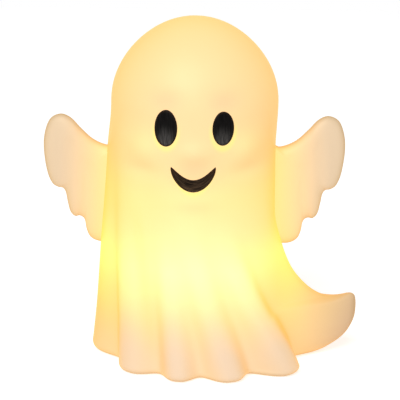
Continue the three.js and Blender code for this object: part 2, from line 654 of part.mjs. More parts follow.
function makePlate() {
  let plate = bar(0, 0, PLATE_R, PLATE_Z, PLATE_TOP, PLATE_TURN);
  plate = plate.add(block(0, 0, TUB_L, TUB_W, PLATE_Z, ROOF_Z));
  plate = plate.subtract(block(0, 0, BAY_L, BAY_W, PLATE_Z - PAST, BAY_TOP));
  // ribs hanging from the roof keep the cells apart
  for (let i = 0; i < CELL_COUNT - 1; i += 1) {
    const y = cellY(i) + CELL_PITCH / 2;
    plate = plate.add(block(0, y, CELL_L - 2 * RIB_END, BAY_WALL, CELL_Z + RIB_RISE, BAY_TOP + BITE));
  }
  plate = plate.add(bar(0, 0, SPIGOT_R, ROOF_Z - BITE, ROOF_Z + SPIGOT_H));

  // the door's rebate, the hinge tabs' slots, the latch's notch and slot
  plate = plate.subtract(block(0, 0, DOOR_L + 2 * GAP, DOOR_W + 2 * GAP, PLATE_Z - PAST, DOOR_TOP + GAP));
  const hingeX = -DOOR_L / 2;
  for (const side of [-1, 1]) {
    plate = plate.subtract(box(
      [hingeX - HINGE_TAB_L - RUN, side * HINGE_TAB_Y - HINGE_TAB_W / 2 - RUN, DOOR_TOP - 2 * GAP],
      [-BAY_L / 2 + GAP, side * HINGE_TAB_Y + HINGE_TAB_W / 2 + RUN, PLATE_TOP + HINGE_TAB_L],
    ));
  }
  const latchX = DOOR_L / 2;
  plate = plate.subtract(box(
    [latchX - PAST, -LATCH_W / 2 - RUN, PLATE_Z - PAST],
    [latchX + LATCH_L + RUN, LATCH_W / 2 + RUN, DOOR_TOP + GAP],
  ));
  const finger = latchX + LATCH_L / 2;
  plate = plate.subtract(box(
    [finger - RUN, -LATCH_FINGER_W / 2 - RUN, PLATE_Z],
    [finger + LATCH_T + LATCH_BARB + RUN, LATCH_FINGER_W / 2 + RUN, PLATE_TOP + PAST],
  ));

  // slots in the roof for the two solder tabs
  for (const side of [1, -1]) {
    const x = side * (CONTACT_FACE + CONTACT_T / 2);
    const y = side * cellY(CELL_COUNT - 1);
    const top = ROOF_Z + PAST;
    plate = plate.subtract(block(x, y, CONTACT_T + 2 * GAP, TAB_W + 2 * GAP, BAY_TOP - PAST, top));
  }
  for (const [x, y] of screwPlaces()) {
    plate = plate.subtract(bar(x, y, SCREW_R + GAP, PLATE_Z - PAST, PLATE_TOP + PAST, HOLE));
    plate = plate.subtract(bar(x, y, SCREW_HEAD_R + GAP, PLATE_Z - PAST, PLATE_Z + COUNTERBORE, ROUND));
  }
  for (const [x, y] of footPlaces()) {
    plate = plate.subtract(bar(x, y, FOOT_R + GAP, PLATE_Z - PAST, PLATE_Z + FOOT_SEAT + GAP, ROUND));
  }

  // the finger pocket and slot of the switch, and the two walls that hold its body
  const swing = SWITCH_TRAVEL / 2;
  const pocket = 2 * (swing + KNOB_L / 2 + RUN + POCKET_ROOM);
  const slot = 2 * (swing + STEM_L / 2 + RUN);
  plate = plate.subtract(block(0, SWITCH_Y, pocket, KNOB_W + 2 * RUN, PLATE_Z - PAST, DOOR_TOP));
  plate = plate.subtract(block(0, SWITCH_Y, slot, STEM_W + 2 * RUN, PLATE_Z - PAST, PLATE_TOP + PAST));
  for (const side of [-1, 1]) {
    const x = side * (SWITCH_L / 2 + GAP + SWITCH_WALL / 2);
    const top = PLATE_TOP + SWITCH_WALL_H;
    plate = plate.add(block(x, SWITCH_Y, SWITCH_WALL, SWITCH_W, PLATE_TOP - BITE, top));
  }
  return plate;
}

function footPlaces() {
  return [[1, 1], [-1, 1], [-1, -1], [1, -1]].map(([x, y]) => [x * FOOT_X, y * FOOT_Y]);
}

function makeFoot() {
  const top = PLATE_Z + FOOT_SEAT;
  return turned([[0, 0], [FOOT_R - FOOT_EDGE, 0], [FOOT_R, FOOT_EDGE], [FOOT_R, top], [0, top]]);
}

/** A screw with its head down: the origin is the head's underside centre, the shank points up. */
function makeScrew(headRadius, headHeight, shank, length, sides = SMALL) {
  const face = headRadius * 0.7;
  const rim = headHeight * 0.4;
  const point = shank * 0.4;
  const end = headHeight + length;
  return turned([
    [0, 0], [face, 0], [headRadius, rim], [headRadius, headHeight],
    [shank, headHeight], [shank, end - shank], [point, end], [0, end],
  ], sides);
}

/** A cell lying along +X with its nub at the positive end; the origin is its middle. */
function makeCell() {
  const half = CELL_L / 2;
  const can = half - NUB_L;
  return turned([
    [0, -half], [CELL_R - CELL_EDGE, -half], [CELL_R, CELL_EDGE - half],
    [CELL_R, can - CELL_EDGE], [CELL_R - CELL_EDGE, can],
    [NUB_R, can], [NUB_R, half - NUB_EDGE], [NUB_R - NUB_EDGE, half], [0, half],
  ]).rotateY(Math.PI / 2);
}

/** A pressed coil spring along +X from a contact at x = 0, tapering toward the cell. */
class SpringPath extends THREE.Curve {
  getPoint(t, target = new THREE.Vector3()) {
    const x = t * SPRING_REACH;
    const turn = THREE.MathUtils.clamp((x - SPRING_WIRE) / (SPRING_REACH - 2 * SPRING_WIRE), 0, 1);
    const r = SPRING_R + (SPRING_R_END - SPRING_R) * turn;
    const a = 2 * Math.PI * SPRING_CURLS * turn;
    return target.set(x, r * Math.cos(a), r * Math.sin(a));
  }
}

/** The coil as one tube whose rings stand square to the wire; its ends run straight for one thickness. */
function makeSpring() {
  const path = new SpringPath();
  const steps = SPRING_CURLS * SPRING_STEPS;
  const share = SPRING_WIRE / SPRING_REACH;
  const stops = [0, share * 0.5];
  for (let i = 0; i <= steps; i += 1) stops.push(share + (1 - 2 * share) * (i / steps));
  stops.push(1 - share * 0.5, 1);
  const points = stops.map((t) => path.getPoint(t));
  const rings = points.map((p, i) => {
    const ahead = points[Math.min(points.length - 1, i + 1)];
    const behind = points[Math.max(0, i - 1)];
    const square = i < 2 || i > points.length - 3;
    const along = square ? new THREE.Vector3(1, 0, 0) : ahead.clone().sub(behind).normalize();
    const out = new THREE.Vector3(0, p.y, p.z).normalize();
    const side = out.clone().cross(along).normalize();
    const up = along.clone().cross(side).normalize();
    return Array.from({ length: SPRING_SIDES }, (_, k) => {
      const a = (2 * Math.PI * k) / SPRING_SIDES;
      return p.clone().addScaledVector(up, (SPRING_WIRE / 2) * Math.cos(a))
        .addScaledVector(side, (SPRING_WIRE / 2) * Math.sin(a));
    });
  });
  // rings nearer than most of a curl are neighbours along the wire
  const apart = SPRING_STEPS - 2;
  let least = Infinity;
  for (let i = 0; i < points.length; i += 1) {
    for (let j = i + apart; j < points.length; j += 1) {
      least = Math.min(least, points[i].distanceTo(points[j]));
    }
  }
  console.log(`least gap between the spring's curls: ${(least - SPRING_WIRE).toFixed(2)} mm`);
  return solid(loft(rings));
}

/** A contact at the end `side` (1 or -1): cells it touches, which of them it meets with a spring. */
function makeContact(side, cells, springCell, tab, spring) {
  const places = cells.map(cellY);
  const low = Math.min(...places) - CONTACT_W / 2;
  const high = Math.max(...places) + CONTACT_W / 2;
  const inner = side * CONTACT_FACE;
  const outer = side * (CONTACT_FACE + CONTACT_T);
  const [x0, x1] = [Math.min(inner, outer), Math.max(inner, outer)];
  let contact = box([x0, low, CELL_Z - CONTACT_DROP], [x1, high, CELL_Z + CONTACT_RISE]);
  if (tab) {
    const y = places[0];
    contact = contact.add(box([x0, y - TAB_W / 2, CELL_Z], [x1, y + TAB_W / 2, ROOF_Z + TAB_RISE]));
  }
  if (springCell !== null) {
    const turn = side > 0 ? [0, 0, 180] : [0, 0, 0];
    contact = contact.add(spring.rotate(turn).translate([inner + side * BITE, cellY(springCell), CELL_Z]));
  }
  return contact;
}

function makeSwitchBody() {
  const z0 = PLATE_TOP + GAP;
  let body = block(0, SWITCH_Y, SWITCH_L, SWITCH_W, z0, z0 + SWITCH_H);
  body = body.subtract(block(0, SWITCH_Y, SWITCH_L - 2 * SWITCH_SKIN, SWITCH_W - 2 * SWITCH_SKIN,
    z0 - PAST, z0 + SHOE_T + RUN));
  const top = z0 + SWITCH_H;
  for (const i of [-1, 0, 1]) {
    body = body.add(bar(i * PIN_PITCH, SWITCH_Y, PIN_R, top - BITE, top + PIN_H, HOLE));
  }
  return body;
}

/** The slider about its own middle, at rest toward +X. */
function makeSlider() {
  const knobTop = PLATE_Z + GAP + KNOB_T;
  const shoeBottom = PLATE_TOP + GAP;
  return block(0, 0, KNOB_L, KNOB_W, PLATE_Z + GAP, knobTop)
    .add(block(0, 0, STEM_L, STEM_W, knobTop - BITE, shoeBottom + BITE))
    .add(block(0, 0, SHOE_L, SHOE_W, shoeBottom, shoeBottom + SHOE_T));
}

/** The battery door with its two hinge tabs and its latch finger. */
function makeDoor() {
  let door = block(0, 0, DOOR_L, DOOR_W, PLATE_Z, DOOR_TOP);
  const tabZ = DOOR_TOP - GAP;
  for (const side of [-1, 1]) {
    door = door.add(box(
      [-DOOR_L / 2 - HINGE_TAB_L, side * HINGE_TAB_Y - HINGE_TAB_W / 2, tabZ],
      [-DOOR_L / 2 + DOOR_LAP, side * HINGE_TAB_Y + HINGE_TAB_W / 2, tabZ + HINGE_TAB_T],
    ));
  }
  const x = DOOR_L / 2;
  const finger = x + LATCH_L / 2;
  door = door.add(box([x - PAST, -LATCH_W / 2, PLATE_Z], [x + LATCH_L, LATCH_W / 2, DOOR_TOP]));
  const fingerTop = DOOR_TOP + LATCH_H;
  const wide = LATCH_FINGER_W / 2;
  door = door.add(box([finger, -wide, DOOR_TOP - BITE], [finger + LATCH_T, wide, fingerTop]));
  const back = finger + LATCH_T;
  const barbZ = PLATE_TOP + GAP;
  const barb = new THREE.Shape([
    new THREE.Vector2(back - BITE, barbZ), new THREE.Vector2(back + LATCH_BARB, barbZ),
    new THREE.Vector2(back, fingerTop), new THREE.Vector2(back - BITE, fingerTop),
  ]);
  const wedge = new THREE.ExtrudeGeometry(barb, { depth: LATCH_FINGER_W, bevelEnabled: false });
  door = door.add(solid(wedge.rotateX(Math.PI / 2).translate(0, wide, 0)));
  return door;
}

function makeBaseGroup() {
  const group = new THREE.Group();
  group.add(
    piece('base_plate', makePlate(), MATERIALS.base),
    piece('battery_door', makeDoor(), MATERIALS.base),
  );
  screwPlaces().forEach(([x, y], i) => {
    const screw = makeScrew(SCREW_HEAD_R, SCREW_HEAD_T, SCREW_R, SCREW_L);
    group.add(piece(`base_screw_${i + 1}`, screw, MATERIALS.steel, [x, y, PLATE_Z + GAP]));
  });
  footPlaces().forEach(([x, y], i) => {
    group.add(piece(`foot_${i + 1}`, makeFoot(), MATERIALS.rubber, [x, y, 0]));
  });
  for (let i = 0; i < CELL_COUNT; i += 1) {
    const nubSide = i % 2 === 0 ? 1 : -1;
    const place = [nubSide * (CONTACT_FACE - GAP - CELL_L / 2), cellY(i), CELL_Z];
    const turn = [0, 0, nubSide > 0 ? 0 : Math.PI];
    group.add(piece(`battery_${i + 1}`, makeCell(), MATERIALS.cell, place, turn));
  }
  const spring = makeSpring();
  group.add(
    piece('contact_negative', makeContact(-1, [0], 0, true, spring), MATERIALS.steel),
    piece('contact_bridge_1', makeContact(1, [0, 1], 1, false, spring), MATERIALS.steel),
    piece('contact_bridge_2', makeContact(-1, [1, 2], 2, false, spring), MATERIALS.steel),
    piece('contact_positive', makeContact(1, [2], null, true, spring), MATERIALS.steel),
    piece('switch_body', makeSwitchBody(), MATERIALS.dark),
    piece('switch_slider', makeSlider(), MATERIALS.dark, [SWITCH_TRAVEL / 2, SWITCH_Y, 0]),
  );
  return group;
}

// The lamp mast

function makePost() {
  const top = BOARD_Z - GAP;
  const foot = ROOF_Z + GAP;
  const bore = SPIGOT_R + GAP;
  const neck = foot + SPIGOT_H + POST_FLARE;
  const ceiling = top - POST_TOP_T;
  let post = solid(turned([
    [bore, foot], [POST_FOOT_R, foot], [POST_FOOT_R, foot + POST_FOOT_T], [POST_R, neck], [POST_R, top],
    [0, top], [0, ceiling], [bore, ceiling], [bore, foot],
  ]));
  for (const side of [-1, 1]) {
    const x = side * BOARD_SCREW_X;
    post = post.subtract(bar(x, 0, BOARD_SCREW_R + GAP, ceiling - PAST, top + PAST, HOLE));
  }
  return post;
}

function makeBoard() {
  const top = BOARD_Z + BOARD_T;
  let board = bar(0, 0, BOARD_R, BOARD_Z, top, BOARD_TURN);
  for (const side of [-1, 1]) {
    const x = side * BOARD_SCREW_X;
    board = board.subtract(bar(x, 0, BOARD_SCREW_R + GAP, BOARD_Z - PAST, top + PAST, HOLE));
  }
  return board;
}

function makeLed() {
  const profile = [[0, 0], [LED_FLANGE_R, 0], [LED_FLANGE_R, LED_FLANGE_T], [LED_R, LED_FLANGE_T]];
  const arc = 3;
  for (let i = 0; i <= arc; i += 1) {
    const lean = (Math.PI / 2) * (i / arc);
    profile.push([LED_R * Math.cos(lean), LED_H - LED_R + LED_R * Math.sin(lean)]);
  }
  return turned(profile, SMALL);
}

/** A resistor lying along +X on its two bent legs; the origin is on the board under its middle. */
function makeResistor() {
  const lift = RESISTOR_R + RESISTOR_LIFT;
  const leg = RESISTOR_LEG;
  const half = RESISTOR_L / 2;
  const reach = half + RESISTOR_BEND;
  const cap = half - RESISTOR_CAP;
  const waist = cap - RESISTOR_SLOPE;
  const body = turned([
    [0, -half], [RESISTOR_R, -half], [RESISTOR_R, -cap], [RESISTOR_WAIST, -waist],
    [RESISTOR_WAIST, waist], [RESISTOR_R, cap], [RESISTOR_R, half], [0, half],
  ], SMALL).rotateY(Math.PI / 2).translate(0, 0, lift);
  let resistor = solid(body).add(box([-reach, -leg, lift - leg], [reach, leg, lift + leg]));
  for (const side of [-1, 1]) {
    resistor = resistor.add(block(side * (reach - leg), 0, 2 * leg, 2 * leg, 0, lift));
  }
  return resistor;
}

function makeMastGroup() {
  const group = new THREE.Group();
  group.add(piece('led_post', makePost(), MATERIALS.base), piece('led_board', makeBoard(), MATERIALS.board));
  const top = BOARD_Z + BOARD_T + GAP;
  for (let i = 0; i < LED_COUNT; i += 1) {
    const a = (2 * Math.PI * (i + 0.5)) / LED_COUNT;
    const place = [LED_RING * Math.cos(a), LED_RING * Math.sin(a), top];
    group.add(piece(`led_${i + 1}`, makeLed(), MATERIALS.lamp, place));
  }
  [-1, 1].forEach((side, i) => {
    const screw = makeScrew(BOARD_SCREW_HEAD_R, BOARD_SCREW_HEAD_T, BOARD_SCREW_R, BOARD_SCREW_L, HOLE);
    const place = [side * BOARD_SCREW_X, 0, top + BOARD_SCREW_HEAD_T];
    group.add(piece(`board_screw_${i + 1}`, screw, MATERIALS.steel, place, [Math.PI, 0, 0]));
  });
  group.add(piece('resistor', makeResistor(), MATERIALS.tan, [0, RESISTOR_Y, top]));
  return group;
}

// The leads, each held at both ends

function makeLead(points) {
  const curve = new THREE.CatmullRomCurve3(points.map((p) => new THREE.Vector3(...p)), false, 'centripetal');
  return tube(curve, LEAD_R, Math.ceil(curve.getLength() / (LEAD_STEP * 2 * LEAD_R)), LEAD_SIDES);
}

function makeLeads() {
  const group = new THREE.Group();
  const tabX = CONTACT_FACE + CONTACT_T / 2;
  const tabZ = ROOF_Z + TAB_RISE + GAP;
  const pinZ = PLATE_TOP + GAP + SWITCH_H + PIN_H + GAP;
  const roof = ROOF_Z + GAP + LEAD_R;
  const padZ = BOARD_Z - GAP;
  group.add(piece('lead_positive', makeLead([
    [tabX, CELL_PITCH, tabZ], [tabX - 0.4, CELL_PITCH - 0.6, tabZ + 1.4], [25.6, 11, roof + 1],
    [25.3, 5, roof + 0.1], [25, -6, roof], [20, -19, roof + 0.2], [13, -27, roof + 0.8],
    [PIN_PITCH + 1.5, SWITCH_Y + 1, pinZ + 4], [PIN_PITCH, SWITCH_Y, pinZ + 1.5],
    [PIN_PITCH, SWITCH_Y, pinZ],
  ]), MATERIALS.red));
  group.add(piece('lead_switched', makeLead([
    [0, SWITCH_Y, pinZ], [0, SWITCH_Y, pinZ + 2], [0, -29, 22], [0, -17, 29], [0, -11.2, 38],
    [0, -11, padZ - 2], [0, -11, padZ],
  ]), MATERIALS.red));
  group.add(piece('lead_negative', makeLead([
    [-tabX, -CELL_PITCH, tabZ], [-tabX, -CELL_PITCH, tabZ + 1.5], [-23, -13, ROOF_Z + 6], [-14, -8, 30],
    [-11, -1, 38], [-10.9, 0, padZ - 2], [-10.9, 0, padZ],
  ]), MATERIALS.dark));
  return group;
}

const ghost = new THREE.Group();
ghost.position.x = AXIS_X;
ghost.add(makeShellGroup(), makeBaseGroup(), makeMastGroup(), makeLeads());

export default ghost;
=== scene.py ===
"""A battery-lit ghost figure: a glowing moulded shell with wings and a swept tail, a black face and a base.

Shapes are worked out in millimetres about the figure's own axis, with the hem's lower edge at height 0, and
go into the meshes in metres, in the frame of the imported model. Angles go round the figure in degrees: 0 is
the tail's side and 90 is the front.
"""

import json
import math

import bmesh
import bpy
import numpy as np
from bpy.props import FloatProperty, FloatVectorProperty, PointerProperty
from bpy.types import Operator, Panel, PropertyGroup
from mathutils import Matrix, Vector

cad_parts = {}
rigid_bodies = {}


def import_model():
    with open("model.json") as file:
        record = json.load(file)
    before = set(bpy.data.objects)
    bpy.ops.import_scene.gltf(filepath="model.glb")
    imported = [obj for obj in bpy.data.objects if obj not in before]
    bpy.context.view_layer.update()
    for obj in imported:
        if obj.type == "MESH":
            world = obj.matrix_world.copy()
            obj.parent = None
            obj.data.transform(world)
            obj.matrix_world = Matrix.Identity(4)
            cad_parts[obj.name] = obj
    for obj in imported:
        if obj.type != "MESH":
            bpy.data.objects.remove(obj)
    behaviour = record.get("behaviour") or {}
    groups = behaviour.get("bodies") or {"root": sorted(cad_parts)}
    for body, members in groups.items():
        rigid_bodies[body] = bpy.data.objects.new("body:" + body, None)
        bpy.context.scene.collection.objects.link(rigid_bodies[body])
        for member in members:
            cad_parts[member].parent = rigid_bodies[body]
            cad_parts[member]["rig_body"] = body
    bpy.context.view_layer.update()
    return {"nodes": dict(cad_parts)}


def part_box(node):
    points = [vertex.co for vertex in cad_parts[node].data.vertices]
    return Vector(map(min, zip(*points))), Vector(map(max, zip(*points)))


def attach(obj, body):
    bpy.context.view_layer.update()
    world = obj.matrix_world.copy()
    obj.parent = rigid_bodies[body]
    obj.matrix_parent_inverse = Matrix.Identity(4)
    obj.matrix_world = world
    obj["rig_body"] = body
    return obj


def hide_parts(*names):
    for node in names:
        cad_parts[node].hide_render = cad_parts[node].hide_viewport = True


bl_info = {
    "name": "Light-up ghost figure",
    "version": (1, 0, 0),
    "blender": (4, 5, 0),
    "location": "3D View > Sidebar > Ghost",
    "description": "Builds the looks of a battery-lit ghost figure around its packed parts",
    "category": "Object",
}

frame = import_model()

MM = 0.001
FIGURE = frame["nodes"]["front_shell"]["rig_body"]

# Places that the frame gives
PLATE_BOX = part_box("base_plate")
AXIS_X = (PLATE_BOX[0].x + PLATE_BOX[1].x) / 2
HEM_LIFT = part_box("front_shell")[0].z
LAMP_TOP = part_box("led_1")[1].z
LAMPS = [
    [(low[0] + high[0]) / 2 - AXIS_X, (low[1] + high[1]) / 2, (low[2] + high[2]) / 2 - HEM_LIFT]
    for low, high in (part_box(f"led_{i}") for i in (1, 2, 3, 4))
]

# The draped sheet
SWAY = 1.4
SWAY_LOW, SWAY_FULL, SWAY_FADE = 20, 90, 30
DRIFT = 5
DRIFT_AT = 45
DRIFT_TOP = 100
FOLDS = (
    # angle at the hem, push-out, half width, turn per mm of height, fading height
    (39.5, 22, 11, 0.35, 95),
    (69, 13.4, 11, 0.27, 110),
    (98, 11.5, 9.5, 0.12, 95),
    (129, 12, 13.2, 0.08, 150),
    (179, 11.4, 20, 0, 150),
    (207, 10, 13, 0, 100),
    (238, 12, 13, -0.06, 110),
    (268, 13.6, 13, -0.1, 95),
    (299, 12, 13, -0.16, 105),
    (329, 14, 14, -0.2, 120),
)
PLAIN_R = 52
FOLD_FADE = 1.35
FOLD_ROUND = 2.6
FOLD_STEEP = 1.6
RIDGE_FADE = 3
HEM_EDGE = 4.2
# How far the dome stays inside a round one, at its shoulders
DOME_SLACK = 0.9
# A place inside the body, which the normals point away from
INSIDE = (0, 0, 60)

# The seam: its gap at the lining, and the share of the way out to a wing's rim where its groove starts
SEAM_SHUT = 0.02
GROOVE_SHARE = 0.98

# How finely the shells are worked out
FINE_STEPS = 3000
HALVINGS = 40

# The tail
TAIL_AT = 5
TAIL_HALF = 15
TAIL_SPREAD = 1.2
TAIL_CURL = 10.5
TAIL_HOOK = 6
TAIL_FULL_Z = 27
TAIL_SOLID = 5
TAIL_DRAW = 1.2
TAIL_TOP = 92
TAIL_SHAPE = (
    (-0.22, 0.51), (0, 0.52), (0.11, 0.6), (0.32, 0.775), (0.52, 0.9), (0.76, 0.99), (0.9, 1),
    (1.03, 0.987), (1.15, 0.955), (1.24, 0.9), (1.37, 0.57), (1.65, 0.34), (2.07, 0.17), (2.6, 0.076),
)
TAIL_SIDE = [(up * TAIL_FULL_Z, share) for up, share in TAIL_SHAPE] + [(TAIL_TOP, 0)]

# The wings, as [out, up] from the upper root over the tip and down the three feathers
WING_ROOT = 40
WING_EDGE = (
    (WING_ROOT, 130), (52.5, 130.3), (62, 134), (69.8, 141), (76, 147.5), (82.3, 149.8), (88.6, 146.5),
    (92, 137.5), (92.6, 127), (90.8, 114), (88, 106.6), (84.6, 103.9), (81.4, 103.2), (79.5, 100.6),
    (78.4, 95), (76.8, 88.3), (74, 85.1), (70.6, 85.3), (67.9, 83), (66.6, 76.5), (64.4, 71.8),
    (60, 69.2), (54, 68.8), (WING_ROOT, 70),
)
WING_MID = (66, 116)
WING_HALF = 6
WING_FULL = 5
WING_SWELL = 0.7
# Creases that run up from the feathers' steps: foot, top, width and depth as a share of the thickness
FEATHER_CREASES = (
    ((79.6, 99), (76, 132), 2.6, 0.12),
    ((66.8, 79), (66, 118), 2.6, 0.12),
    ((87, 118), (84.5, 142), 3, 0.06),
)

# The face
EYE_X = 16.7
EYE_Z = 152
MOUTH_X = -0.5
MOUTH_CORNER_Z = 128.4
MOUTH_UPPER_Z = 120.9
MOUTH_LOWER_Z = 115.3
MOUTH_UPPER_BEND = 1.3
MOUTH_LOWER_BEND = 0.66
MOUTH_TIP = 1.15
MOUTH_BLUNT = 5
EYE_PROUD = 1
MOUTH_PROUD = 0.6
# How deep an inlay reaches into the wall, and how deep the rim of its top lies
INLAY_SUNK = 0.8
INLAY_RIM = 0.1
RELIEF = (
    # x, z, spread across, spread up, push-out
    (-30, 138, 9, 8, 1.8),
    (30, 138, 9, 8, 1.8),
    (-31, 125.5, 10, 4.5, -0.9),
    (31, 125.5, 10, 4.5, -0.9),
    (0, 137, 9, 6, 2),
    (0, 108, 14, 5, 0.7),
    (-18, 168, 12, 7, -0.9),
    (18, 168, 12, 7, -0.9),
)

# The light through the wall, in millimetres. A bell is its centre, its spread and, where it isn't 2, its
# power. A step is where it is 0 and where it is 1. A tint is what stays of the light's red, green and blue.
FRONT_STEP = (2, -2)
CHEST_BELL = (107, 20)
CORE_BELL = (66, 24, 1.55)

# The hem: the share of its colour, how much more of it the folds' ridges have, and how much higher it rises
# on them
FEET_STEP = (34, 2)
FEET_SHARE = 0.35
FEET_FOLDS = 0.5
FEET_RISE = 13

# The tail, from its root to its tip, under the height where the body ends
LOW_STEP = (68, 35)
TAIL_STEP = (54, 78)
TIP_STEP = (65, 108)

# The wings, from root to feathers, along a line that leans with the height over the middle
FEATHER_STEP = (34, 86)
FEATHER_LEAN = 0.046
FEATHER_Z = 110

# Painted gold at the sides, where the light crosses the wall at a slant
GOLD = 0.65
GOLD_BELL = (40, 54)
GOLD_POWER = 8
GOLD_TINT = (1, 1, 0)

# Painted shade, a darker gold, in the valleys between the folds: it fades upward and toward the tail, and is
# faint at the hem
VALLEY_SHADE = 0.7
VALLEY_TOP = (105, 55)
VALLEY_TAIL = (72, 50)
VALLEY_FOOT = 0.3
VALLEY_RISE = (5, 50)
VALLEY_SHADE_TINT = (1, 0.88, 0.64)

# Painted yellow on the left of the chest, where the light crosses the wall at a slant, and a painted shade
# line along its crease, which leans outward with the height
YELLOW = 0.6
YELLOW_OUT = (12, 34)
YELLOW_BELL = (80, 42)
YELLOW_TINT = (1, 0.94, 0.74)
CREASE_SHADE = 0.5
CREASE_X = 22
CREASE_LEAN = 0.125
CREASE_SPREAD = 4
CREASE_TOP = (112, 88)
CREASE_FOOT = (0, 30)

# The face: soft painted shade over the muzzle, the brows, under the cheeks and under the mouth, painted light
# on the cheeks' tops, and the light that leaks round the eyes and under the lower lip
FACE_SHADES = (
    # place across and up, width, height and depth
    (0, 126, 12, 9, 0.85),
    (17, 167, 9, 6, 0.6),
    (31, 128, 9, 5, 0.15),
    (0, 105, 11, 4.5, 0.35),
)
FACE_SHADE_TINT = (1, 0.8, 0.92)
# Painted light on the cheeks' tops
CHEEK_ACROSS = (28, 10)
CHEEK_UP = (142, 9)
CHEEK_LIGHT_TINT = (1.12, 1.1, 1)
EYE_LEAK = 0.6
EYE_LEAK_HALF = (6.9, 11)
EYE_LEAK_DROP = 0.8
EYE_LEAK_BELL = (1, 0.42)
EYE_LEAK_STEP = (158, 146)
LIP_LEAK = 0.7
LIP_BEND = 0.072
LIP_BELL = (-2, 1.8)
LIP_STEP = (15, 9)

# Where the light is less: the wings' rim, the hem's lip, the tail's tip and the crown, and how much it
# follows the lamps' reach
RIM_DIM = 0.4
RIM_POWER = 26
HEM_DIM = 0.3
HEM_DIM_STEP = (3.2, 0.3)
TIP_DIM = 0.2
TIP_DIM_STEP = (97, 101.5)
CROWN_DIM = 0.13
CROWN_STEP = (150, 211)
RELIEF_LIGHT = 0.07

# The black paint, as shares of the piece: the painted sheen, a painted reflection, toward the lower part and
# the middle, the streaks in the noise, and the edge where the coat runs thin
SHEEN_DOWN = (-0.12, 0.4)
SHEEN_IN = (0.5, 0.1)
STREAK_STEP = (0.36, 0.7)
THIN_COAT = (0.84, 0.97)

# The cells, as shares of their length: the lighter band, the cap and the foot
CELL_BAND = (0.66, 0.67)
CELL_CAP = (0.955, 0.96)
CELL_FOOT = (0.008, 0.012)

# The lamp board's round track, how far down a lamp its tip's glow reaches, and the resistor's rings and legs
TRACK_R = 8.6
TRACK_EDGE = (0.5, 0.7)
LENS_GLOW = 8
RINGS = (
    # place along the resistor and paint
    (-2.3, (0.2, 0.03, 0.01)),
    (-1, (0.02, 0.02, 0.02)),
    (0.3, (0.16, 0.06, 0.02)),
    (2.2, (0.45, 0.3, 0.06)),
)
RING_EDGE = (0.25, 0.3)
LEG_STEP = (3.02, 3.05)

# The seat for the base plate
SEAT_R = 45
SEAT_Z = 4.1
LEDGE_R = 40
LEDGE_TOP = 6.3
RIM_R = 47.4

# The camera of the photograph: the place that it looks at, and how its frame sits round that place
AIM = Vector((AXIS_X, 0, 0.1006))
PHOTO_WIDTH = 400
AIM_PIXEL = (194, 193.5)
PIXEL_AT_AIM = 0.62 * MM
SENSOR = 36

# The floor's grey and how far it is lifted toward white, and the soft light's width and place, in metres
FLOOR_GREY = 0.82
FLOOR_LIFT = 0.56
KEY_SIZE = 1.4
KEY_PLACE = Vector((-0.5, -1.5, 1.5))


def length_property(name, description, value):
    """A length that a user would change, in metres, or a pair of them."""
    settings = {"name": name, "description": description, "default": value, "unit": "LENGTH"}
    if isinstance(value, tuple):
        return FloatVectorProperty(size=len(value), **settings)
    return FloatProperty(**settings)


def colour_property(name, description, value):
    """A colour that a user would change, as a scene-linear value."""
    return FloatVectorProperty(
        name=name, description=description, subtype="COLOR", size=3, default=value, min=0, max=4,
    )


class GhostSizes(PropertyGroup):
    """Sizes of the figure."""

    head_radius: length_property("Head radius", "Radius of the dome", 0.051)
    head_height: length_property("Head height", "Height of the dome's centre over the hem", 0.1595)
    waist_radius: length_property("Waist radius", "Radius of the sheet between its folds at the hem", 0.0525)
    tail_reach: length_property("Tail reach", "From the axis out to the tail's tip", 0.102)
    wall: length_property("Wall", "Thickness of the moulded wall", 0.0024)
    seam: length_property("Seam", "Gap between the two shells", 0.0003)
    left_eye: length_property("Left eye", "Width and height of the left eye", (0.0134, 0.0217))
    right_eye: length_property("Right eye", "Width and height of the right eye", (0.0128, 0.0203))
    mouth_width: length_property("Mouth width", "Width of the mouth between its corners", 0.0265)


class GhostLooks(PropertyGroup):
    """Colours of the plastic and of the light that comes through it."""

    plastic: colour_property("Plastic", "The shell's own colour", (0.32, 0.26, 0.17))
    glow_head: colour_property("Head glow", "Light through the head", (0.78, 0.61, 0.41))
    glow_chest: colour_property("Chest glow", "Light through the chest", (0.83, 0.73, 0.38))
    glow_core: colour_property("Core glow", "Light beside the lamps", (1.6, 1.1, 0.62))
    glow_feet: colour_property("Hem glow", "Light through the hem's folds", (0.58, 0.515, 0.59))
    glow_tail: colour_property("Tail glow", "Light through the tail's root", (0.74, 0.555, 0.53))
    glow_tip: colour_property("Tip glow", "Light through the tail's tip", (0.39, 0.295, 0.66))
    glow_wing: colour_property("Wing glow", "Light through the wings' roots", (1.2, 0.8, 0.27))
    glow_feather: colour_property("Feather glow", "Light through the wings' ends", (0.5, 0.45, 0.46))
    leak: colour_property("Leak", "Light that leaks round the eyes and the mouth", (0.95, 0.85, 0.22))
    tint: colour_property("Wall tint", "What the wall's clear outer layer lets through", (1, 0.88, 0.67))
    black: colour_property("Black", "Gloss black of the eyes", (0.0025, 0.002, 0.0018))
    # Painted reflection: the colour of the painted sheen on the eyes' brush streaks
    streak_sheen: colour_property("Sheen", "Worn sheen on the eyes", (0.09, 0.085, 0.08))
    brown: colour_property("Brown", "Dark brown of the mouth", (0.0045, 0.0022, 0.001))
    # Painted reflection: the colour of the painted sheen on the mouth's brush streaks
    brown_streak_sheen: colour_property("Brown sheen", "Worn sheen on the mouth", (0.13, 0.08, 0.045))
    glow_strength: FloatProperty(name="Glow strength", description="Strength of the glow", default=1.0, min=0)


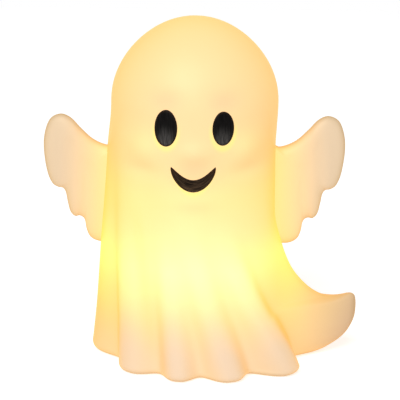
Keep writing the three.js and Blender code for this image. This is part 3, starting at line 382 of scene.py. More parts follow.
class GhostStage(PropertyGroup):
    """The camera, the lights and the floor."""

    elevation: FloatProperty(
        name="Elevation", description="Height of the camera over the horizon", default=math.radians(15),
        subtype="ANGLE",
    )
    roll: FloatProperty(
        name="Roll", description="Turn of the camera about its own axis", default=math.radians(0.55),
        subtype="ANGLE",
    )
    distance: length_property("Distance", "From the camera to the place it looks at", 0.96)
    floor_size: length_property("Floor", "Width of the floor", 3)
    key_power: FloatProperty(
        name="Key light", description="Power of the main soft light", default=34, unit="POWER",
    )
    sky: FloatProperty(
        name="Sky", description="Strength of the even light from all round", default=0.4, min=0,
    )


# Arithmetic on arrays


def ramp(low, high, x):
    """0 on low's side, 1 on high's side, and t * t * (3 - 2 * t) between them. Low may be the greater one."""
    t = np.clip((x - low) / (high - low), 0, 1)
    return t * t * (3 - 2 * t)


def turn_from(centre, angle):
    """Signed angle from centre to angle, the short way round."""
    return (angle - centre + 180) % 360 - 180


def through(points, x):
    """A smooth curve through rising points that never overshoots: Hermite cubics whose slopes are the
    harmonic mean of the neighbouring chords, and flat where the chords change sign."""
    xs, ys = np.array(points, float).T
    chord = np.diff(ys) / np.diff(xs)
    before, after = chord[:-1], chord[1:]
    total = np.where(before + after == 0, 1, before + after)
    slope = np.concatenate([[0], np.where(before * after > 0, 2 * before * after / total, 0), [0]])
    i = np.clip(np.searchsorted(xs, x, side="right") - 1, 0, len(xs) - 2)
    h = xs[i + 1] - xs[i]
    t = np.clip((x - xs[i]) / h, 0, 1)
    start = (2 * t**3 - 3 * t**2 + 1) * ys[i] + (t**3 - 2 * t**2 + t) * h * slope[i]
    return start + (3 * t**2 - 2 * t**3) * ys[i + 1] + (t**3 - t**2) * h * slope[i + 1]


def closed_curve(points, count):
    """Evenly counted points on a closed curve through the given ones, by uniform Catmull-Rom pieces:
    half of (2b + (c - a)t + (2a - 5b + 4c - d)t^2 + (3b - a - 3c + d)t^3)."""
    p = np.array(points, float)
    s = np.arange(count) * len(p) / count
    k = s.astype(int)
    t = (s - k)[:, None]
    a, b, c, d = (p[(k + i) % len(p)] for i in (-1, 0, 1, 2))
    return 0.5 * (2 * b + (c - a) * t + (2 * a - 5 * b + 4 * c - d) * t**2 + (3 * b - a - 3 * c + d) * t**3)


class Skin:
    """The draped figure's outside as a function of an angle and a height."""

    def __init__(self, sizes):
        self.head_r = sizes.head_radius / MM
        self.head_z = sizes.head_height / MM
        self.waist_r = sizes.waist_radius / MM
        self.reach = sizes.tail_reach / MM

    def sheet_radius(self, angle, z):
        """The radius grows evenly from the head's to the waist's, sways from the tail's side at the chest,
        and drifts toward the front corner near the hem. Each fold adds push-out * (1 - z / top)^1.35 *
        exp(-|angle off its ridge / half width|^2.6)."""
        down = np.clip(1 - z / self.head_z, 0, 1)
        r = self.head_r + (self.waist_r - self.head_r) * down
        sway = ramp(self.head_z, self.head_z - SWAY_FADE, z) * ramp(SWAY_LOW, SWAY_FULL, z)
        r = r - SWAY * sway * np.cos(np.radians(angle))
        r = r + DRIFT * ramp(DRIFT_TOP, 0, z) * np.maximum(0, np.cos(np.radians(angle - DRIFT_AT)))
        for at, out, half, turn, top in FOLDS:
            off = np.abs(turn_from(at + turn * z, angle)) / half
            r = r + out * np.maximum(0, 1 - z / top) ** FOLD_FADE * np.exp(-(off**FOLD_ROUND))
        return r

    def ridge(self, angle, z):
        """1 on the folds' ridges and 0 in the valleys, softer than the folds: the sum over the folds of
        exp(-(angle off its ridge / half width)^2) * min(1, 3 * (1 - z / top))."""
        total = 0
        for at, _, half, turn, top in FOLDS:
            off = turn_from(at + turn * z, angle) / half
            total = total + np.clip(RIDGE_FADE * (1 - z / top), 0, 1) * np.exp(-(off**2))
        return total

    def inset_radius(self, angle, z, inset):
        """The sheet's radius less the inset, measured square to the folds: inset * sqrt(1 + slope^2)."""
        r = self.sheet_radius(angle, z)
        slope = (self.sheet_radius(angle + 1, z) - self.sheet_radius(angle - 1, z)) / (r * math.radians(2))
        return r - inset * np.minimum(FOLD_STEEP, np.hypot(1, slope))

    def points(self, angle, r, z, share=1.0, inset=0.0):
        """A point at the angle, radius and height, drawn out along the tail by reach * side(z) *
        (1 + (angle off the tail / half)^2)^-1.2 * share^2, curled up with the sixth power of that pull, and
        pushed out by the face's Gaussian swellings on the front."""
        full = self.reach - self.sheet_radius(TAIL_AT, TAIL_FULL_Z) - TAIL_SOLID * inset
        spread = (1 + (turn_from(TAIL_AT, angle) / TAIL_HALF) ** 2) ** -TAIL_SPREAD
        pull = through(TAIL_SIDE, z + TAIL_DRAW * inset) * spread * share**2
        x = r * np.cos(np.radians(angle)) + full * pull * math.cos(math.radians(TAIL_AT))
        y = -r * np.sin(np.radians(angle)) - full * pull * math.sin(math.radians(TAIL_AT))
        up = z + TAIL_CURL * pull**TAIL_HOOK * np.minimum(1, z / TAIL_FULL_Z) ** 2
        p = np.stack(np.broadcast_arrays(x, y, up), -1)
        out = p.copy()
        out[..., 2] = np.maximum(0, p[..., 2] - self.head_z)
        out /= np.maximum(np.linalg.norm(out, axis=-1, keepdims=True), 1e-9)
        swell = sum(
            push * np.exp(-(((p[..., 0] - cx) / across) ** 2) - ((p[..., 2] - cz) / rise) ** 2)
            for cx, cz, across, rise, push in RELIEF
        )
        return p + out * np.where(p[..., 1] < 0, swell, 0)[..., None]

    def face(self, x, z, lift):
        """A point of the face at (x, z), lifted straight out from the axis."""
        angle = np.degrees(np.arccos(x / self.sheet_radius(90.0, z)))
        p = self.points(angle, self.sheet_radius(angle, z), z)
        out = p * (1, 1, 0)
        return p + out / np.linalg.norm(out, axis=-1, keepdims=True) * np.asarray(lift)[..., None]


# Meshes from grids


def grid_faces(rows, columns, start=0, closed=False):
    """Quads of a grid of rows by columns whose points are numbered from start."""
    i = np.arange(rows - 1)[:, None]
    j = np.arange(columns if closed else columns - 1)[None, :]
    k = (j + 1) % columns
    corners = (i * columns + j, (i + 1) * columns + j, (i + 1) * columns + k, i * columns + k)
    return np.stack([np.broadcast_to(c, (rows - 1, j.size)) for c in corners], -1).reshape(-1, 4) + start


def volume_of(points, quads):
    """Signed volume of closed quads: a sixth of the sum of each triangle's triple product."""
    a, b, c, d = (points[quads[:, i]] for i in range(4))
    return (np.einsum("ij,ij->", a, np.cross(b, c)) + np.einsum("ij,ij->", a, np.cross(c, d))) / 6


def outward(points, quads):
    """The quads, turned round if they enclose a negative volume."""
    return quads if volume_of(points, quads) > 0 else quads[:, ::-1]


def add_object(name, data):
    """Puts a new object with the data in the scene."""
    made = bpy.data.objects.new(name, data)
    bpy.context.scene.collection.objects.link(made)
    return made


def make_piece(name, parts, node=None, body=FIGURE, attributes=None, sharp=40):
    """One object of several closed parts, each (points in millimetres, quads), with doubles merged and smooth
    faces. attributes holds an array for each name, over all the parts' points."""
    points = np.concatenate([p for p, _ in parts])
    starts = np.cumsum([0] + [len(p) for p, _ in parts[:-1]])
    quads = np.concatenate([q + s for (_, q), s in zip(parts, starts)])
    mesh = bpy.data.meshes.new(name)
    place = np.array([AXIS_X, 0, HEM_LIFT])
    mesh.from_pydata((points * MM + place).tolist(), [], quads.tolist())
    for key, values in (attributes or {}).items():
        mesh.attributes.new(key, "FLOAT", "POINT").data.foreach_set("value", values.astype(np.float32))
    work = bmesh.new()
    work.from_mesh(mesh)
    bmesh.ops.remove_doubles(work, verts=work.verts, dist=1e-7)
    bmesh.ops.dissolve_degenerate(work, edges=work.edges, dist=1e-8)
    work.to_mesh(mesh)
    work.free()
    mesh.shade_smooth()
    mesh.set_sharp_from_angle(angle=math.radians(sharp))
    piece = add_object(name, mesh)
    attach(piece, body)
    if node:
        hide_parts(node)
    return piece


def dress(piece, material):
    """Gives the piece one material."""
    piece.data.materials.clear()
    piece.data.materials.append(material)


# The shells


def shell_rows(skin, wall):
    """Rows from the crown down the outside, round the hem, in to the plate's seat and back up the lining.
    Each is (share of the sheet's radius, radius added, height the sheet's radius is read at, height, share of
    the tail, inset), so that the radius is share * sheet + added. The dome's own radius is the head's less
    0.9 mm * sin(2 * lean from upright)^2. The sheet's rows are evenly spaced along the side view of the tail.
    The rows up the lining answer those down the outside."""
    dome, sheet, edge, floor = 30, 130, 7, 9
    lean = np.linspace(0, np.pi / 2, dome + 1)[:-1]
    fine = np.linspace(HEM_EDGE, skin.head_z, FINE_STEPS)
    outline = (skin.reach - skin.waist_r) * np.gradient(through(TAIL_SIDE, fine))
    along = np.cumsum(np.hypot(np.gradient(fine), outline))
    heights = np.interp(np.linspace(along[-1], along[0], sheet + 1), along, fine)
    bend = np.linspace(0, np.pi / 2, edge + 1)[1:]
    inward = np.linspace(1, 0, floor + 1)[1:]

    def side(inset):
        r = skin.head_r - inset
        e = HEM_EDGE - inset
        hole = SEAT_R if inset == 0 else RIM_R
        blank = np.zeros(dome)
        dome_r = r - DOME_SLACK * np.sin(2 * lean) ** 2
        dome_z = skin.head_z + dome_r * np.cos(lean)
        crown = [blank, dome_r * np.sin(lean), blank, dome_z, blank + 1, blank + inset]
        one = np.ones(sheet + 1)
        drape = [one, 0 * one, heights, heights, one, inset * one]
        one = np.ones(edge)
        hem = [one, -e * (1 - np.cos(bend)), HEM_EDGE * one, HEM_EDGE - e * np.sin(bend), one, inset * one]
        one = np.ones(floor)
        under = [inward, hole * (1 - inward) - e * inward, HEM_EDGE * one, inset * one, inward, inset * one]
        return np.concatenate([np.array(part) for part in (crown, drape, hem, under)], axis=1)

    corners = ((SEAT_R, SEAT_Z), (LEDGE_R, SEAT_Z), (LEDGE_R, LEDGE_TOP), (RIM_R, LEDGE_TOP))
    seat = np.array([[0, r, 0, z, 0, 0] for r, z in corners]).T
    return np.concatenate([side(0.0), seat, side(wall)[:, ::-1]], axis=1)[:, :, None]


def half_body(skin, wall, gap, front, columns=200):
    """The body's front or rear half as one closed wall. Each row runs between the two angles at which it
    meets the plane y = -gap / 2 or y = gap / 2, found by halving, and its columns crowd toward the tail by
    u -/+ sin(pi * u) / (2 * pi). The gap is nearly shut at the lining, so the seam is a groove."""
    share, added, read_at, z, tail, inset = shell_rows(skin, wall)
    gap = np.where(np.arange(len(z)) < len(z) // 2, gap, SEAM_SHUT)[:, None]
    # at the crown the rows shrink to the seam's edge
    added = np.where(share == 0, np.maximum(added, gap / 2), added)
    side = -1 if front else 1

    def at(angle):
        r = share * skin.inset_radius(angle, read_at, inset) + added
        return skin.points(angle, r, z, tail, inset)

    def meet(low, high):
        for _ in range(HALVINGS):
            middle = (low + high) / 2
            beyond = at(middle)[..., 1] * side > gap / 2
            low, high = np.where(beyond, low, middle), np.where(beyond, middle, high)
        return high

    inside = np.full(z.shape, 90.0 if front else 270.0)
    first = meet(inside - 180, inside)
    last = meet(inside + 180, inside)
    u = np.linspace(0, 1, columns)[None, :]
    crowd = -np.sin(np.pi * u) / (2 * np.pi) * (1 if front else -1)
    p = at(first + (last - first) * (u + crowd))
    p[..., 1] = side * np.maximum(side * p[..., 1], gap / 2)
    rows = len(z)
    lit = lamp_light(p, grid_normals(p))
    # the crown's row is a point, which has no normal of its own
    lit[0] = lit[1]
    around = np.degrees(np.arctan2(-p[..., 1], p[..., 0]))
    ridge = skin.ridge(around, p[..., 2]).ravel()
    points = p.reshape(-1, 3)
    quads = grid_faces(rows, columns)
    # the two seam faces join each row of the outside to its row of the lining
    i = np.arange(rows // 2 - 1)
    edge = np.stack([i, rows - 1 - i, rows - 2 - i, i + 1], 1) * columns
    quads = np.concatenate([quads, edge, edge[:, ::-1] + columns - 1])
    return points, outward(points, quads), lit.ravel(), ridge


def half_wing(side, gap, front, around=150, rings=16):
    """Half a wing, closed at the seam's plane. Its rings shrink from the outline to the swelling's middle by
    sin(lean)^0.7, and stand out by the half thickness * sqrt(1 - share^5), less the feathers' creases. Only
    the rim keeps the seam's gap."""
    outline = closed_curve(WING_EDGE, around)
    lean = np.linspace(np.pi / 2, 0, rings + 1)[:, None]
    share = np.sin(lean) ** WING_SWELL
    q = np.array(WING_MID) + share[..., None] * (outline[None] - np.array(WING_MID))
    crease = sum(
        depth * np.exp(-((off_line(q, foot, top) / width) ** 2))
        for foot, top, width, depth in FEATHER_CREASES
    )
    depth = (WING_HALF - gap / 2) * np.sqrt(np.maximum(0, 1 - share**WING_FULL)) * (1 - crease)
    facing = -1 if front else 1
    y = facing * (gap / 2 + depth)
    face = np.stack([side * q[..., 0], np.broadcast_to(y, q.shape[:2]), q[..., 1]], -1)
    back = face[::-1].copy()
    back[..., 1] = facing / 2 * np.where(share > GROOVE_SHARE, gap, SEAM_SHUT)[::-1]
    points = np.concatenate([face, back[1:]]).reshape(-1, 3)
    quads = grid_faces(2 * rings + 1, around, closed=True)
    return points, outward(points, quads), np.concatenate([share, share[::-1][1:]]).repeat(around)


def lamp_light(points, normals):
    """How much of the lamps' light meets the wall, against a round wall at the same height. Each lamp gives
    cos(angle to the normal) / distance^2, and the round wall is as wide as the sheet between its folds."""
    def falling(p, n):
        total = 0
        for lamp in LAMPS:
            ray = p - lamp
            d = np.linalg.norm(ray, axis=-1)
            total = total + np.maximum(0, (n * ray).sum(-1) / d) / d**2
        return total

    around = np.hypot(points[..., 0], points[..., 1])[..., None]
    out = points * (1, 1, 0) / np.maximum(around, 1)
    even = out * PLAIN_R + points * (0, 0, 1)
    return falling(points, normals) / np.maximum(falling(even, out), 1e-9)


def grid_normals(p):
    """Unit normals of a grid of points, by the cross product of its two differences, turned outward."""
    n = np.cross(np.gradient(p, axis=1), np.gradient(p, axis=0))
    n /= np.maximum(np.linalg.norm(n, axis=-1, keepdims=True), 1e-9)
    away = (n * (p - INSIDE)).sum(-1, keepdims=True)
    return n * np.where(away < 0, -1, 1)


def off_line(q, foot, top):
    """Distance of points from the stretch between foot and top."""
    a, b = np.array(foot, float), np.array(top, float)
    t = np.clip(((q - a) @ (b - a)) / ((b - a) @ (b - a)), 0, 1)
    return np.linalg.norm(q - a - t[..., None] * (b - a), axis=-1)


def build_shell(name, node, sizes, front):
    """One shell: its half of the body and of both wings. Attributes: rim is 1 at the wings' edge, wing is 1
    on the wings, lit is how much of the lamps' light meets the wall, and ridge is 1 on the folds' ridges."""
    gap = sizes.seam / MM
    points, quads, lit, ridge = half_body(Skin(sizes), sizes.wall / MM, gap, front)
    wings = [half_wing(side, gap, front) for side in (-1, 1)]
    share = np.concatenate([share for _, _, share in wings])
    no, yes = np.zeros_like(share), np.ones_like(share)
    body_and_wings = {
        "rim": (np.zeros_like(lit), share),
        "wing": (np.zeros_like(lit), yes),
        "lit": (lit, yes),
        "ridge": (ridge, no),
    }
    attributes = {key: np.concatenate(values) for key, values in body_and_wings.items()}
    parts = [(points, quads)] + [(p, q) for p, q, _ in wings]
    return make_piece(name, parts, node, attributes=attributes)


# The face


def make_inlay(name, node, points, quads, uv_of):
    """One black piece of the face, with a UV map from a function of its points in millimetres about the
    figure's axis."""
    piece = make_piece(name, [(points, outward(points, quads))], node, sharp=60)
    mesh = piece.data
    co = np.empty(len(mesh.vertices) * 3)
    mesh.vertices.foreach_get("co", co)
    p = (co.reshape(-1, 3) - (AXIS_X, 0, HEM_LIFT)) / MM
    corner = np.empty(len(mesh.loops), int)
    mesh.loops.foreach_get("vertex_index", corner)
    layer = mesh.uv_layers.new(name="face")
    layer.data.foreach_set("uv", uv_of(p)[corner].ravel())
    return piece


def build_eye(name, node, sizes, side):
    """An eye: an oval dome on the skin. At share s of the way out its lift is 1 mm * sqrt(1 - s^3) less the
    rim's depth, and its underside lies in the wall."""
    skin = Skin(sizes)
    around, rings = 72, 22
    s = np.sin(np.linspace(0.0, np.pi / 2, rings + 1))[:, None]
    a = np.linspace(0, 2 * np.pi, around, endpoint=False)[None, :]
    wide, tall = (size / MM / 2 for size in (sizes.left_eye if side < 0 else sizes.right_eye))
    x = side * EYE_X + wide * s * np.cos(a)
    z = EYE_Z + tall * s * np.sin(a)
    top = skin.face(x, z, np.broadcast_to(EYE_PROUD * np.sqrt(1 - s**3) - INLAY_RIM, x.shape))
    under = skin.face(x, z, np.full(x.shape, -INLAY_SUNK))[::-1]
    points = np.concatenate([top, under]).reshape(-1, 3)
    quads = grid_faces(2 * rings + 2, around, closed=True)
    centre = np.array([side * EYE_X, EYE_Z])

    def uv(p):
        return (p[:, [0, 2]] - centre) / (2 * wide, 2 * tall) + 0.5

    return make_inlay(name, node, points, quads, uv)


def mouth_lips(sizes, x):
    """The middle height and half height of the mouth at x. Each lip hangs under the corners by its depth *
    hang^bend, where hang is 1 - (x / half width)^2, and the half height has 1.15 mm * min(1, 5 * sqrt(hang))
    more, so that the corners are blunt."""
    half = sizes.mouth_width / MM / 2
    hang = np.maximum(0, 1 - ((x - MOUTH_X) / half) ** 2)
    upper = MOUTH_CORNER_Z - (MOUTH_CORNER_Z - MOUTH_UPPER_Z) * hang**MOUTH_UPPER_BEND
    lower = MOUTH_CORNER_Z - (MOUTH_CORNER_Z - MOUTH_LOWER_Z) * hang**MOUTH_LOWER_BEND
    tip = MOUTH_TIP * np.minimum(1, MOUTH_BLUNT * np.sqrt(hang + 1e-4))
    return (upper + lower) / 2, (upper - lower) / 2 + tip


def build_mouth(sizes):
    """The smile: a crescent bent to the face. At share v of the way to a lip and u of the way to a corner it
    is 0.6 mm * (1 - |v|^3) * sqrt(1 - u^8) proud, less the rim's depth."""
    skin = Skin(sizes)
    along, across = 64, 15
    u = np.linspace(-1, 1, along)[:, None]
    v = np.sin(np.linspace(-np.pi / 2, np.pi / 2, across))[None, :]
    x = MOUTH_X + sizes.mouth_width / MM / 2 * np.sin(np.pi / 2 * u)
    middle, half = mouth_lips(sizes, x)
    z = middle + half * v
    arch = (1 - np.abs(v) ** 3) * np.sqrt(np.maximum(0, 1 - u**8))
    x = np.broadcast_to(x, z.shape)
    top = skin.face(x, z, MOUTH_PROUD * arch - INLAY_RIM)
    under = skin.face(x, z, np.full(z.shape, -INLAY_SUNK))
    points = np.concatenate([top, under[:, ::-1]], axis=1).reshape(-1, 3)
    quads = grid_faces(along, 2 * across, closed=True)
    # the two ends join the top's points to the underside's
    j = np.arange(across - 1)
    cap = np.stack([j, j + 1, 2 * across - 2 - j, 2 * across - 1 - j], 1)
    quads = np.concatenate([quads, cap, cap[:, ::-1] + (along - 1) * 2 * across])

    def uv(p):
        middle, half = mouth_lips(sizes, p[:, 0])
        across_it = (p[:, 0] - MOUTH_X) * MM / sizes.mouth_width
        up_it = (p[:, 2] - middle) / (2 * half)
        return np.stack([across_it + 0.5, up_it + 0.5], 1)

    return make_inlay("mouth_inlay", "mouth", points, quads, uv)


# Materials


def both_ways(operation):
    """The two methods of an operator: the wire before the other value, and after it."""
    return (
        lambda wire, other: wire.maths(operation, wire, other),
        lambda wire, other: wire.maths(operation, other, wire),
    )


class Wire:
    """A socket of a node tree that takes part in arithmetic with numbers and other wires."""

    def __init__(self, finish, socket):
        self.finish = finish
        self.socket = socket

    def maths(self, operation, *values):
        return self.finish.node("ShaderNodeMath", {"operation": operation}, values)

    __add__, __radd__ = both_ways("ADD")
    __sub__, __rsub__ = both_ways("SUBTRACT")
    __mul__, __rmul__ = both_ways("MULTIPLY")
    __truediv__, __rtruediv__ = both_ways("DIVIDE")
    __pow__, __rpow__ = both_ways("POWER")

    def __abs__(self):
        return self.maths("ABSOLUTE", self)

    def most(self, other):
        return self.maths("MAXIMUM", self, other)

    def bell(self, centre, width, power=2.0):
        """exp(-|(self - centre) / width|^power)."""
        return math.e ** (0 - abs((self - centre) / width) ** power)

    def step(self, low, high):
        """0 at low, 1 at high and an even S between them."""
        return self.finish.node(
            "ShaderNodeMapRange", {"interpolation_type": "SMOOTHSTEP"}, (self, low, high, 0.0, 1.0),
        )


class Finish:
    """A material, or the world, whose nodes are written as expressions."""

    def __init__(self, owner):
        self.material = bpy.data.materials.new(owner) if isinstance(owner, str) else owner
        self.material.use_nodes = True
        self.tree = self.material.node_tree
        kinds = {made.bl_idname: made for made in self.tree.nodes}
        self.shader = kinds.get("ShaderNodeBsdfPrincipled")
        self.output = kinds.get("ShaderNodeOutputMaterial") or kinds["ShaderNodeOutputWorld"]

    def node(self, kind, settings=None, values=(), out=0):
        """Adds a node of the kind, with its settings made first and then its sockets' values or links, given
        in order or by name. Returns the wire of its output."""
        made = self.tree.nodes.new(kind)
        for key, value in (settings or {}).items():
            setattr(made, key, value)
        pairs = values.items() if isinstance(values, dict) else enumerate(values)
        for key, value in pairs:
            self.plug(made.inputs[key], value)
        return Wire(self, made.outputs[out])

    def plug(self, socket, value):
        """Links a wire to the socket, or sets its value."""
        if isinstance(value, Wire):
            self.tree.links.new(value.socket, socket)
        elif hasattr(value, "__len__") and len(socket.default_value) == 4 and len(value) == 3:
            socket.default_value = (*value, 1)
        else:
            socket.default_value = value

    def set(self, **sockets):
        """Sets the shader's sockets; an underscore in a name stands for a space."""
        for key, value in sockets.items():
            self.plug(self.shader.inputs[key.replace("_", " ")], value)

    def attribute(self, name):
        return self.node("ShaderNodeAttribute", {"attribute_name": name}, out="Fac")

    def coordinates(self):
        """Object coordinates, in metres."""
        return self.node("ShaderNodeTexCoord", out="Object")

    def place(self):
        """Object coordinates, and their x, y and z in millimetres about the figure's axis, z over the hem."""
        place = self.coordinates()
        x, y, z = self.split(place)
        return place, (x - AXIS_X) / MM, y / MM, (z - HEM_LIFT) / MM

    def split(self, vector):
        """The three parts of a vector."""
        outputs = self.node("ShaderNodeSeparateXYZ", {}, (vector,)).socket.node.outputs
        return [Wire(self, output) for output in outputs]

    def noise(self, vector, scale, detail=2.0, rough=0.5):
        """Noise about 0.5, with scale features to each unit of the vector."""
        values = {"Vector": vector, "Scale": scale, "Detail": detail, "Roughness": rough}
        return self.node("ShaderNodeTexNoise", {}, values)

    def stretched(self, vector, scale):
        return self.node("ShaderNodeMapping", {"vector_type": "POINT"}, {"Vector": vector, "Scale": scale})

    def mix(self, factor, a, b, blend="MIX"):
        """A mix of two colours."""
        settings = {"data_type": "RGBA", "blend_type": blend}
        return self.node("ShaderNodeMix", settings, {0: factor, 6: a, 7: b}, out=2)

    def tinted(self, colour, share, tint):
        """The colour, with a share of it multiplied by the tint."""
        return self.mix(share, colour, self.mix(1.0, colour, tint, "MULTIPLY"))

    def grey(self, level):
        """A grey of the level, which may be over 1."""
        return self.node("ShaderNodeCombineXYZ", {}, (level, level, level))

    def bump(self, height, distance, strength=1.0):
        """A normal raised by the height, 0 to 1, times the distance in metres."""
        return self.node("ShaderNodeBump", {}, {"Strength": strength, "Distance": distance, "Height": height})


def darker(colour, share):
    """The colour at a share of its strength."""
    return tuple(share * part for part in colour)


def sheet_glow(f, looks, x, z, body, ridge):
    """The light through the sheet: palest beside the lamps, warmer up the chest and the head, and peach along
    the hem, more so and higher on the folds' ridges, and out along the tail."""
    glow = f.mix(z.bell(*CHEST_BELL), looks.glow_head, looks.glow_chest)
    glow = f.mix(z.bell(*CORE_BELL), glow, looks.glow_core)
    feet = (z - FEET_RISE * ridge).step(*FEET_STEP) * (FEET_SHARE + FEET_FOLDS * ridge) * body
    glow = f.mix(feet, glow, looks.glow_feet)
    low = z.step(*LOW_STEP) * body
    glow = f.mix(x.step(*TAIL_STEP) * low, glow, looks.glow_tail)
    return f.mix(x.step(*TIP_STEP) * low, glow, looks.glow_tip)


def wing_glow(f, looks, x, z):
    """The light through the wings, from warm at the root to pale at the feathers."""
    reach = abs(x) + FEATHER_LEAN * (z - FEATHER_Z)
    return f.mix(reach.step(*FEATHER_STEP), looks.glow_wing, looks.glow_feather)


def fold_glow(f, glow, x, y, z, body, front, ridge):
    """Painted light and shade: gold at the sides and yellow on the left of the chest, where the light crosses
    the wall at a slant, painted shade in the valleys, and a painted shade line along the chest's crease.
    """
    # Painted gold at the sides, where the light crosses the wall at a slant
    side = abs(x) / ((x * x + y * y) ** 0.5 + 1)
    gold = body * side**GOLD_POWER * z.bell(*GOLD_BELL)
    glow = f.tinted(glow, GOLD * gold, GOLD_TINT)
    # Painted shade, a darker gold, in the valleys between the folds
    valley_shade = body * (1 - ridge) * z.step(*VALLEY_TOP) * x.step(*VALLEY_TAIL)
    valley_shade = valley_shade * (VALLEY_FOOT + (1 - VALLEY_FOOT) * z.step(*VALLEY_RISE))
    glow = f.tinted(glow, VALLEY_SHADE * valley_shade, VALLEY_SHADE_TINT)
    # Painted yellow light on the left of the chest, and a painted shade line along its crease
    yellow = front * (0 - x).step(*YELLOW_OUT) * z.bell(*YELLOW_BELL)
    crease = front * (x + CREASE_X + CREASE_LEAN * z).bell(0, CREASE_SPREAD)
    crease = crease * z.step(*CREASE_TOP) * z.step(*CREASE_FOOT)
    return f.tinted(glow, YELLOW * yellow + CREASE_SHADE * crease, YELLOW_TINT)


def face_glow(f, looks, glow, x, z, front):
    """Soft painted shade over the muzzle, the brows, under the cheeks and under the mouth, painted light on
    the cheeks' tops, and light that leaks in an oval ring round each eye and in a curve under the lower lip."""
    # Painted shade over the muzzle, the brows, under the cheeks and under the mouth
    face_shade = 0
    for across, up, wide, tall, depth in FACE_SHADES:
        face_shade = face_shade + depth * abs(x).bell(across, wide) * z.bell(up, tall)
    glow = f.tinted(glow, front * face_shade, FACE_SHADE_TINT)
    # Painted light on the cheeks' tops
    cheek_light = front * abs(x).bell(*CHEEK_ACROSS) * z.bell(*CHEEK_UP)
    glow = f.tinted(glow, cheek_light, CHEEK_LIGHT_TINT)
    wide, tall = EYE_LEAK_HALF
    ring = ((abs(x) - EYE_X) / wide) ** 2 + ((z - EYE_Z + EYE_LEAK_DROP) / tall) ** 2
    lip = z - MOUTH_LOWER_Z - LIP_BEND * (x - MOUTH_X) ** 2
    leak = EYE_LEAK * ring.bell(*EYE_LEAK_BELL) * z.step(*EYE_LEAK_STEP)
    leak = leak + LIP_LEAK * lip.bell(*LIP_BELL) * abs(x - MOUTH_X).step(*LIP_STEP)
    return f.mix(front * leak, glow, looks.leak)


def glowing_plastic(looks):
    """Translucent cream plastic lit from inside. The light is less at the wings' rim, the hem's lip, the
    tail's tip and the crown, and where the wall turns away from the lamps."""
    f = Finish("glow_plastic")
    place, x, y, z = f.place()
    rim = f.attribute("rim")
    wing = f.attribute("wing")
    ridge = f.attribute("ridge")
    lit = f.attribute("lit") - 1
    body = 1 - wing
    front = body * y.step(*FRONT_STEP)
    glow = sheet_glow(f, looks, x, z, body, ridge)
    glow = f.mix(wing, glow, wing_glow(f, looks, x, z))
    glow = fold_glow(f, glow, x, y, z, body, front, ridge)
    glow = face_glow(f, looks, glow, x, z, front)
    edge = RIM_DIM * rim**RIM_POWER + HEM_DIM * z.step(*HEM_DIM_STEP) * body
    edge = edge + TIP_DIM * x.step(*TIP_DIM_STEP)
    shade = 1 + RELIEF_LIGHT * lit * body - edge - CROWN_DIM * z.step(*CROWN_STEP)
    glow = f.mix(1.0, glow, f.grey(shade), "MULTIPLY")
    grain = f.noise(place, 900.0, 2.0)
    soft = f.noise(place, 60.0, 2.0)
    f.set(
        Base_Color=f.mix(f.noise(place, 35.0), darker(looks.plastic, 0.94), tuple(looks.plastic)),
        Emission_Color=glow,
        Emission_Strength=looks.glow_strength,
        Roughness=0.4 + 0.1 * soft,
        Specular_IOR_Level=0.35,
        Coat_Weight=1.0,
        Coat_Tint=tuple(looks.tint),
        Coat_IOR=1.06,
        Coat_Roughness=0.35,
        Normal=f.bump(grain * 0.5 + soft, 0.00012, 0.35),
    )
    return f.material


def painted_black(name, streak_scale, lower, even, black, sheen_to, edge_to):
    """Gloss black with brush streaks: fine noise stretched along the stroke, and a painted reflection, paler
    toward the lower part, and another tone at the edge where the coat runs thin. lower is how strongly the
    painted sheen follows the height, and even is how much of the painted sheen the streaks have all over."""
    f = Finish(name)
    uv = f.node("ShaderNodeUVMap", {"uv_map": "face"})
    u, v = (part - 0.5 for part in f.split(uv)[:2])
    streak = f.noise(f.stretched(uv, streak_scale), 1.0, 4.0, 0.62)
    radius = (u * u + v * v) ** 0.5 * 2
    # Painted reflection: a painted sheen toward the lower middle, and painted sheen on the brush streaks,
    # there and evenly all over
    sheen = (lower * (0 - v)).step(*SHEEN_DOWN) * abs(u).step(*SHEEN_IN)
    streak_sheen = streak.step(*STREAK_STEP) * (sheen + even)
    edge = radius.step(*THIN_COAT)
    colour = f.mix(0.3 * sheen + 0.7 * streak_sheen, black, sheen_to)
    colour = f.mix(edge * 0.85, colour, edge_to)
    f.set(
        Base_Color=colour,
        Roughness=0.3 + 0.25 * streak,
        Specular_IOR_Level=0.04,
        Normal=f.bump(streak, 0.0001, 0.5),
    )
    return f.material


def moulded(name, colour, rough=0.45, grain=0.3):
    """Satin moulded plastic with a fine grain and faint clouds of tone."""
    f = Finish(name)
    place = f.coordinates()
    cloud = f.noise(place, 45.0, 3.0)
    fine = f.noise(place, 1600.0, 2.0)
    f.set(
        Base_Color=f.mix(cloud, darker(colour, 0.9), colour),
        Roughness=rough + 0.12 * (cloud - 0.5),
        Normal=f.bump(fine, 0.00006, grain),
    )
    return f.material


def zinc_steel():
    """Zinc-plated steel with a fine brushed grain along one way."""
    f = Finish("steel")
    place = f.coordinates()
    brushed = f.noise(f.stretched(place, (300.0, 4000.0, 4000.0)), 1.0, 3.0)
    tone = f.noise(place, 120.0, 2.0)
    f.set(
        Base_Color=f.mix(tone, (0.52, 0.53, 0.55), (0.66, 0.66, 0.66)),
        Metallic=1.0,
        Roughness=0.22 + 0.2 * brushed,
        Normal=f.bump(brushed, 0.00003, 0.4),
    )
    return f.material


def rubber():
    """Matte dark rubber with a dusty bloom."""
    f = Finish("foot_rubber")
    place = f.coordinates()
    dust = f.noise(place, 260.0, 4.0)
    f.set(
        Base_Color=f.mix(dust.step(0.45, 0.8), (0.03, 0.029, 0.028), (0.075, 0.072, 0.07)),
        Roughness=0.78 + 0.15 * dust,
        Normal=f.bump(f.noise(place, 1800.0), 0.00008, 0.5),
    )
    return f.material


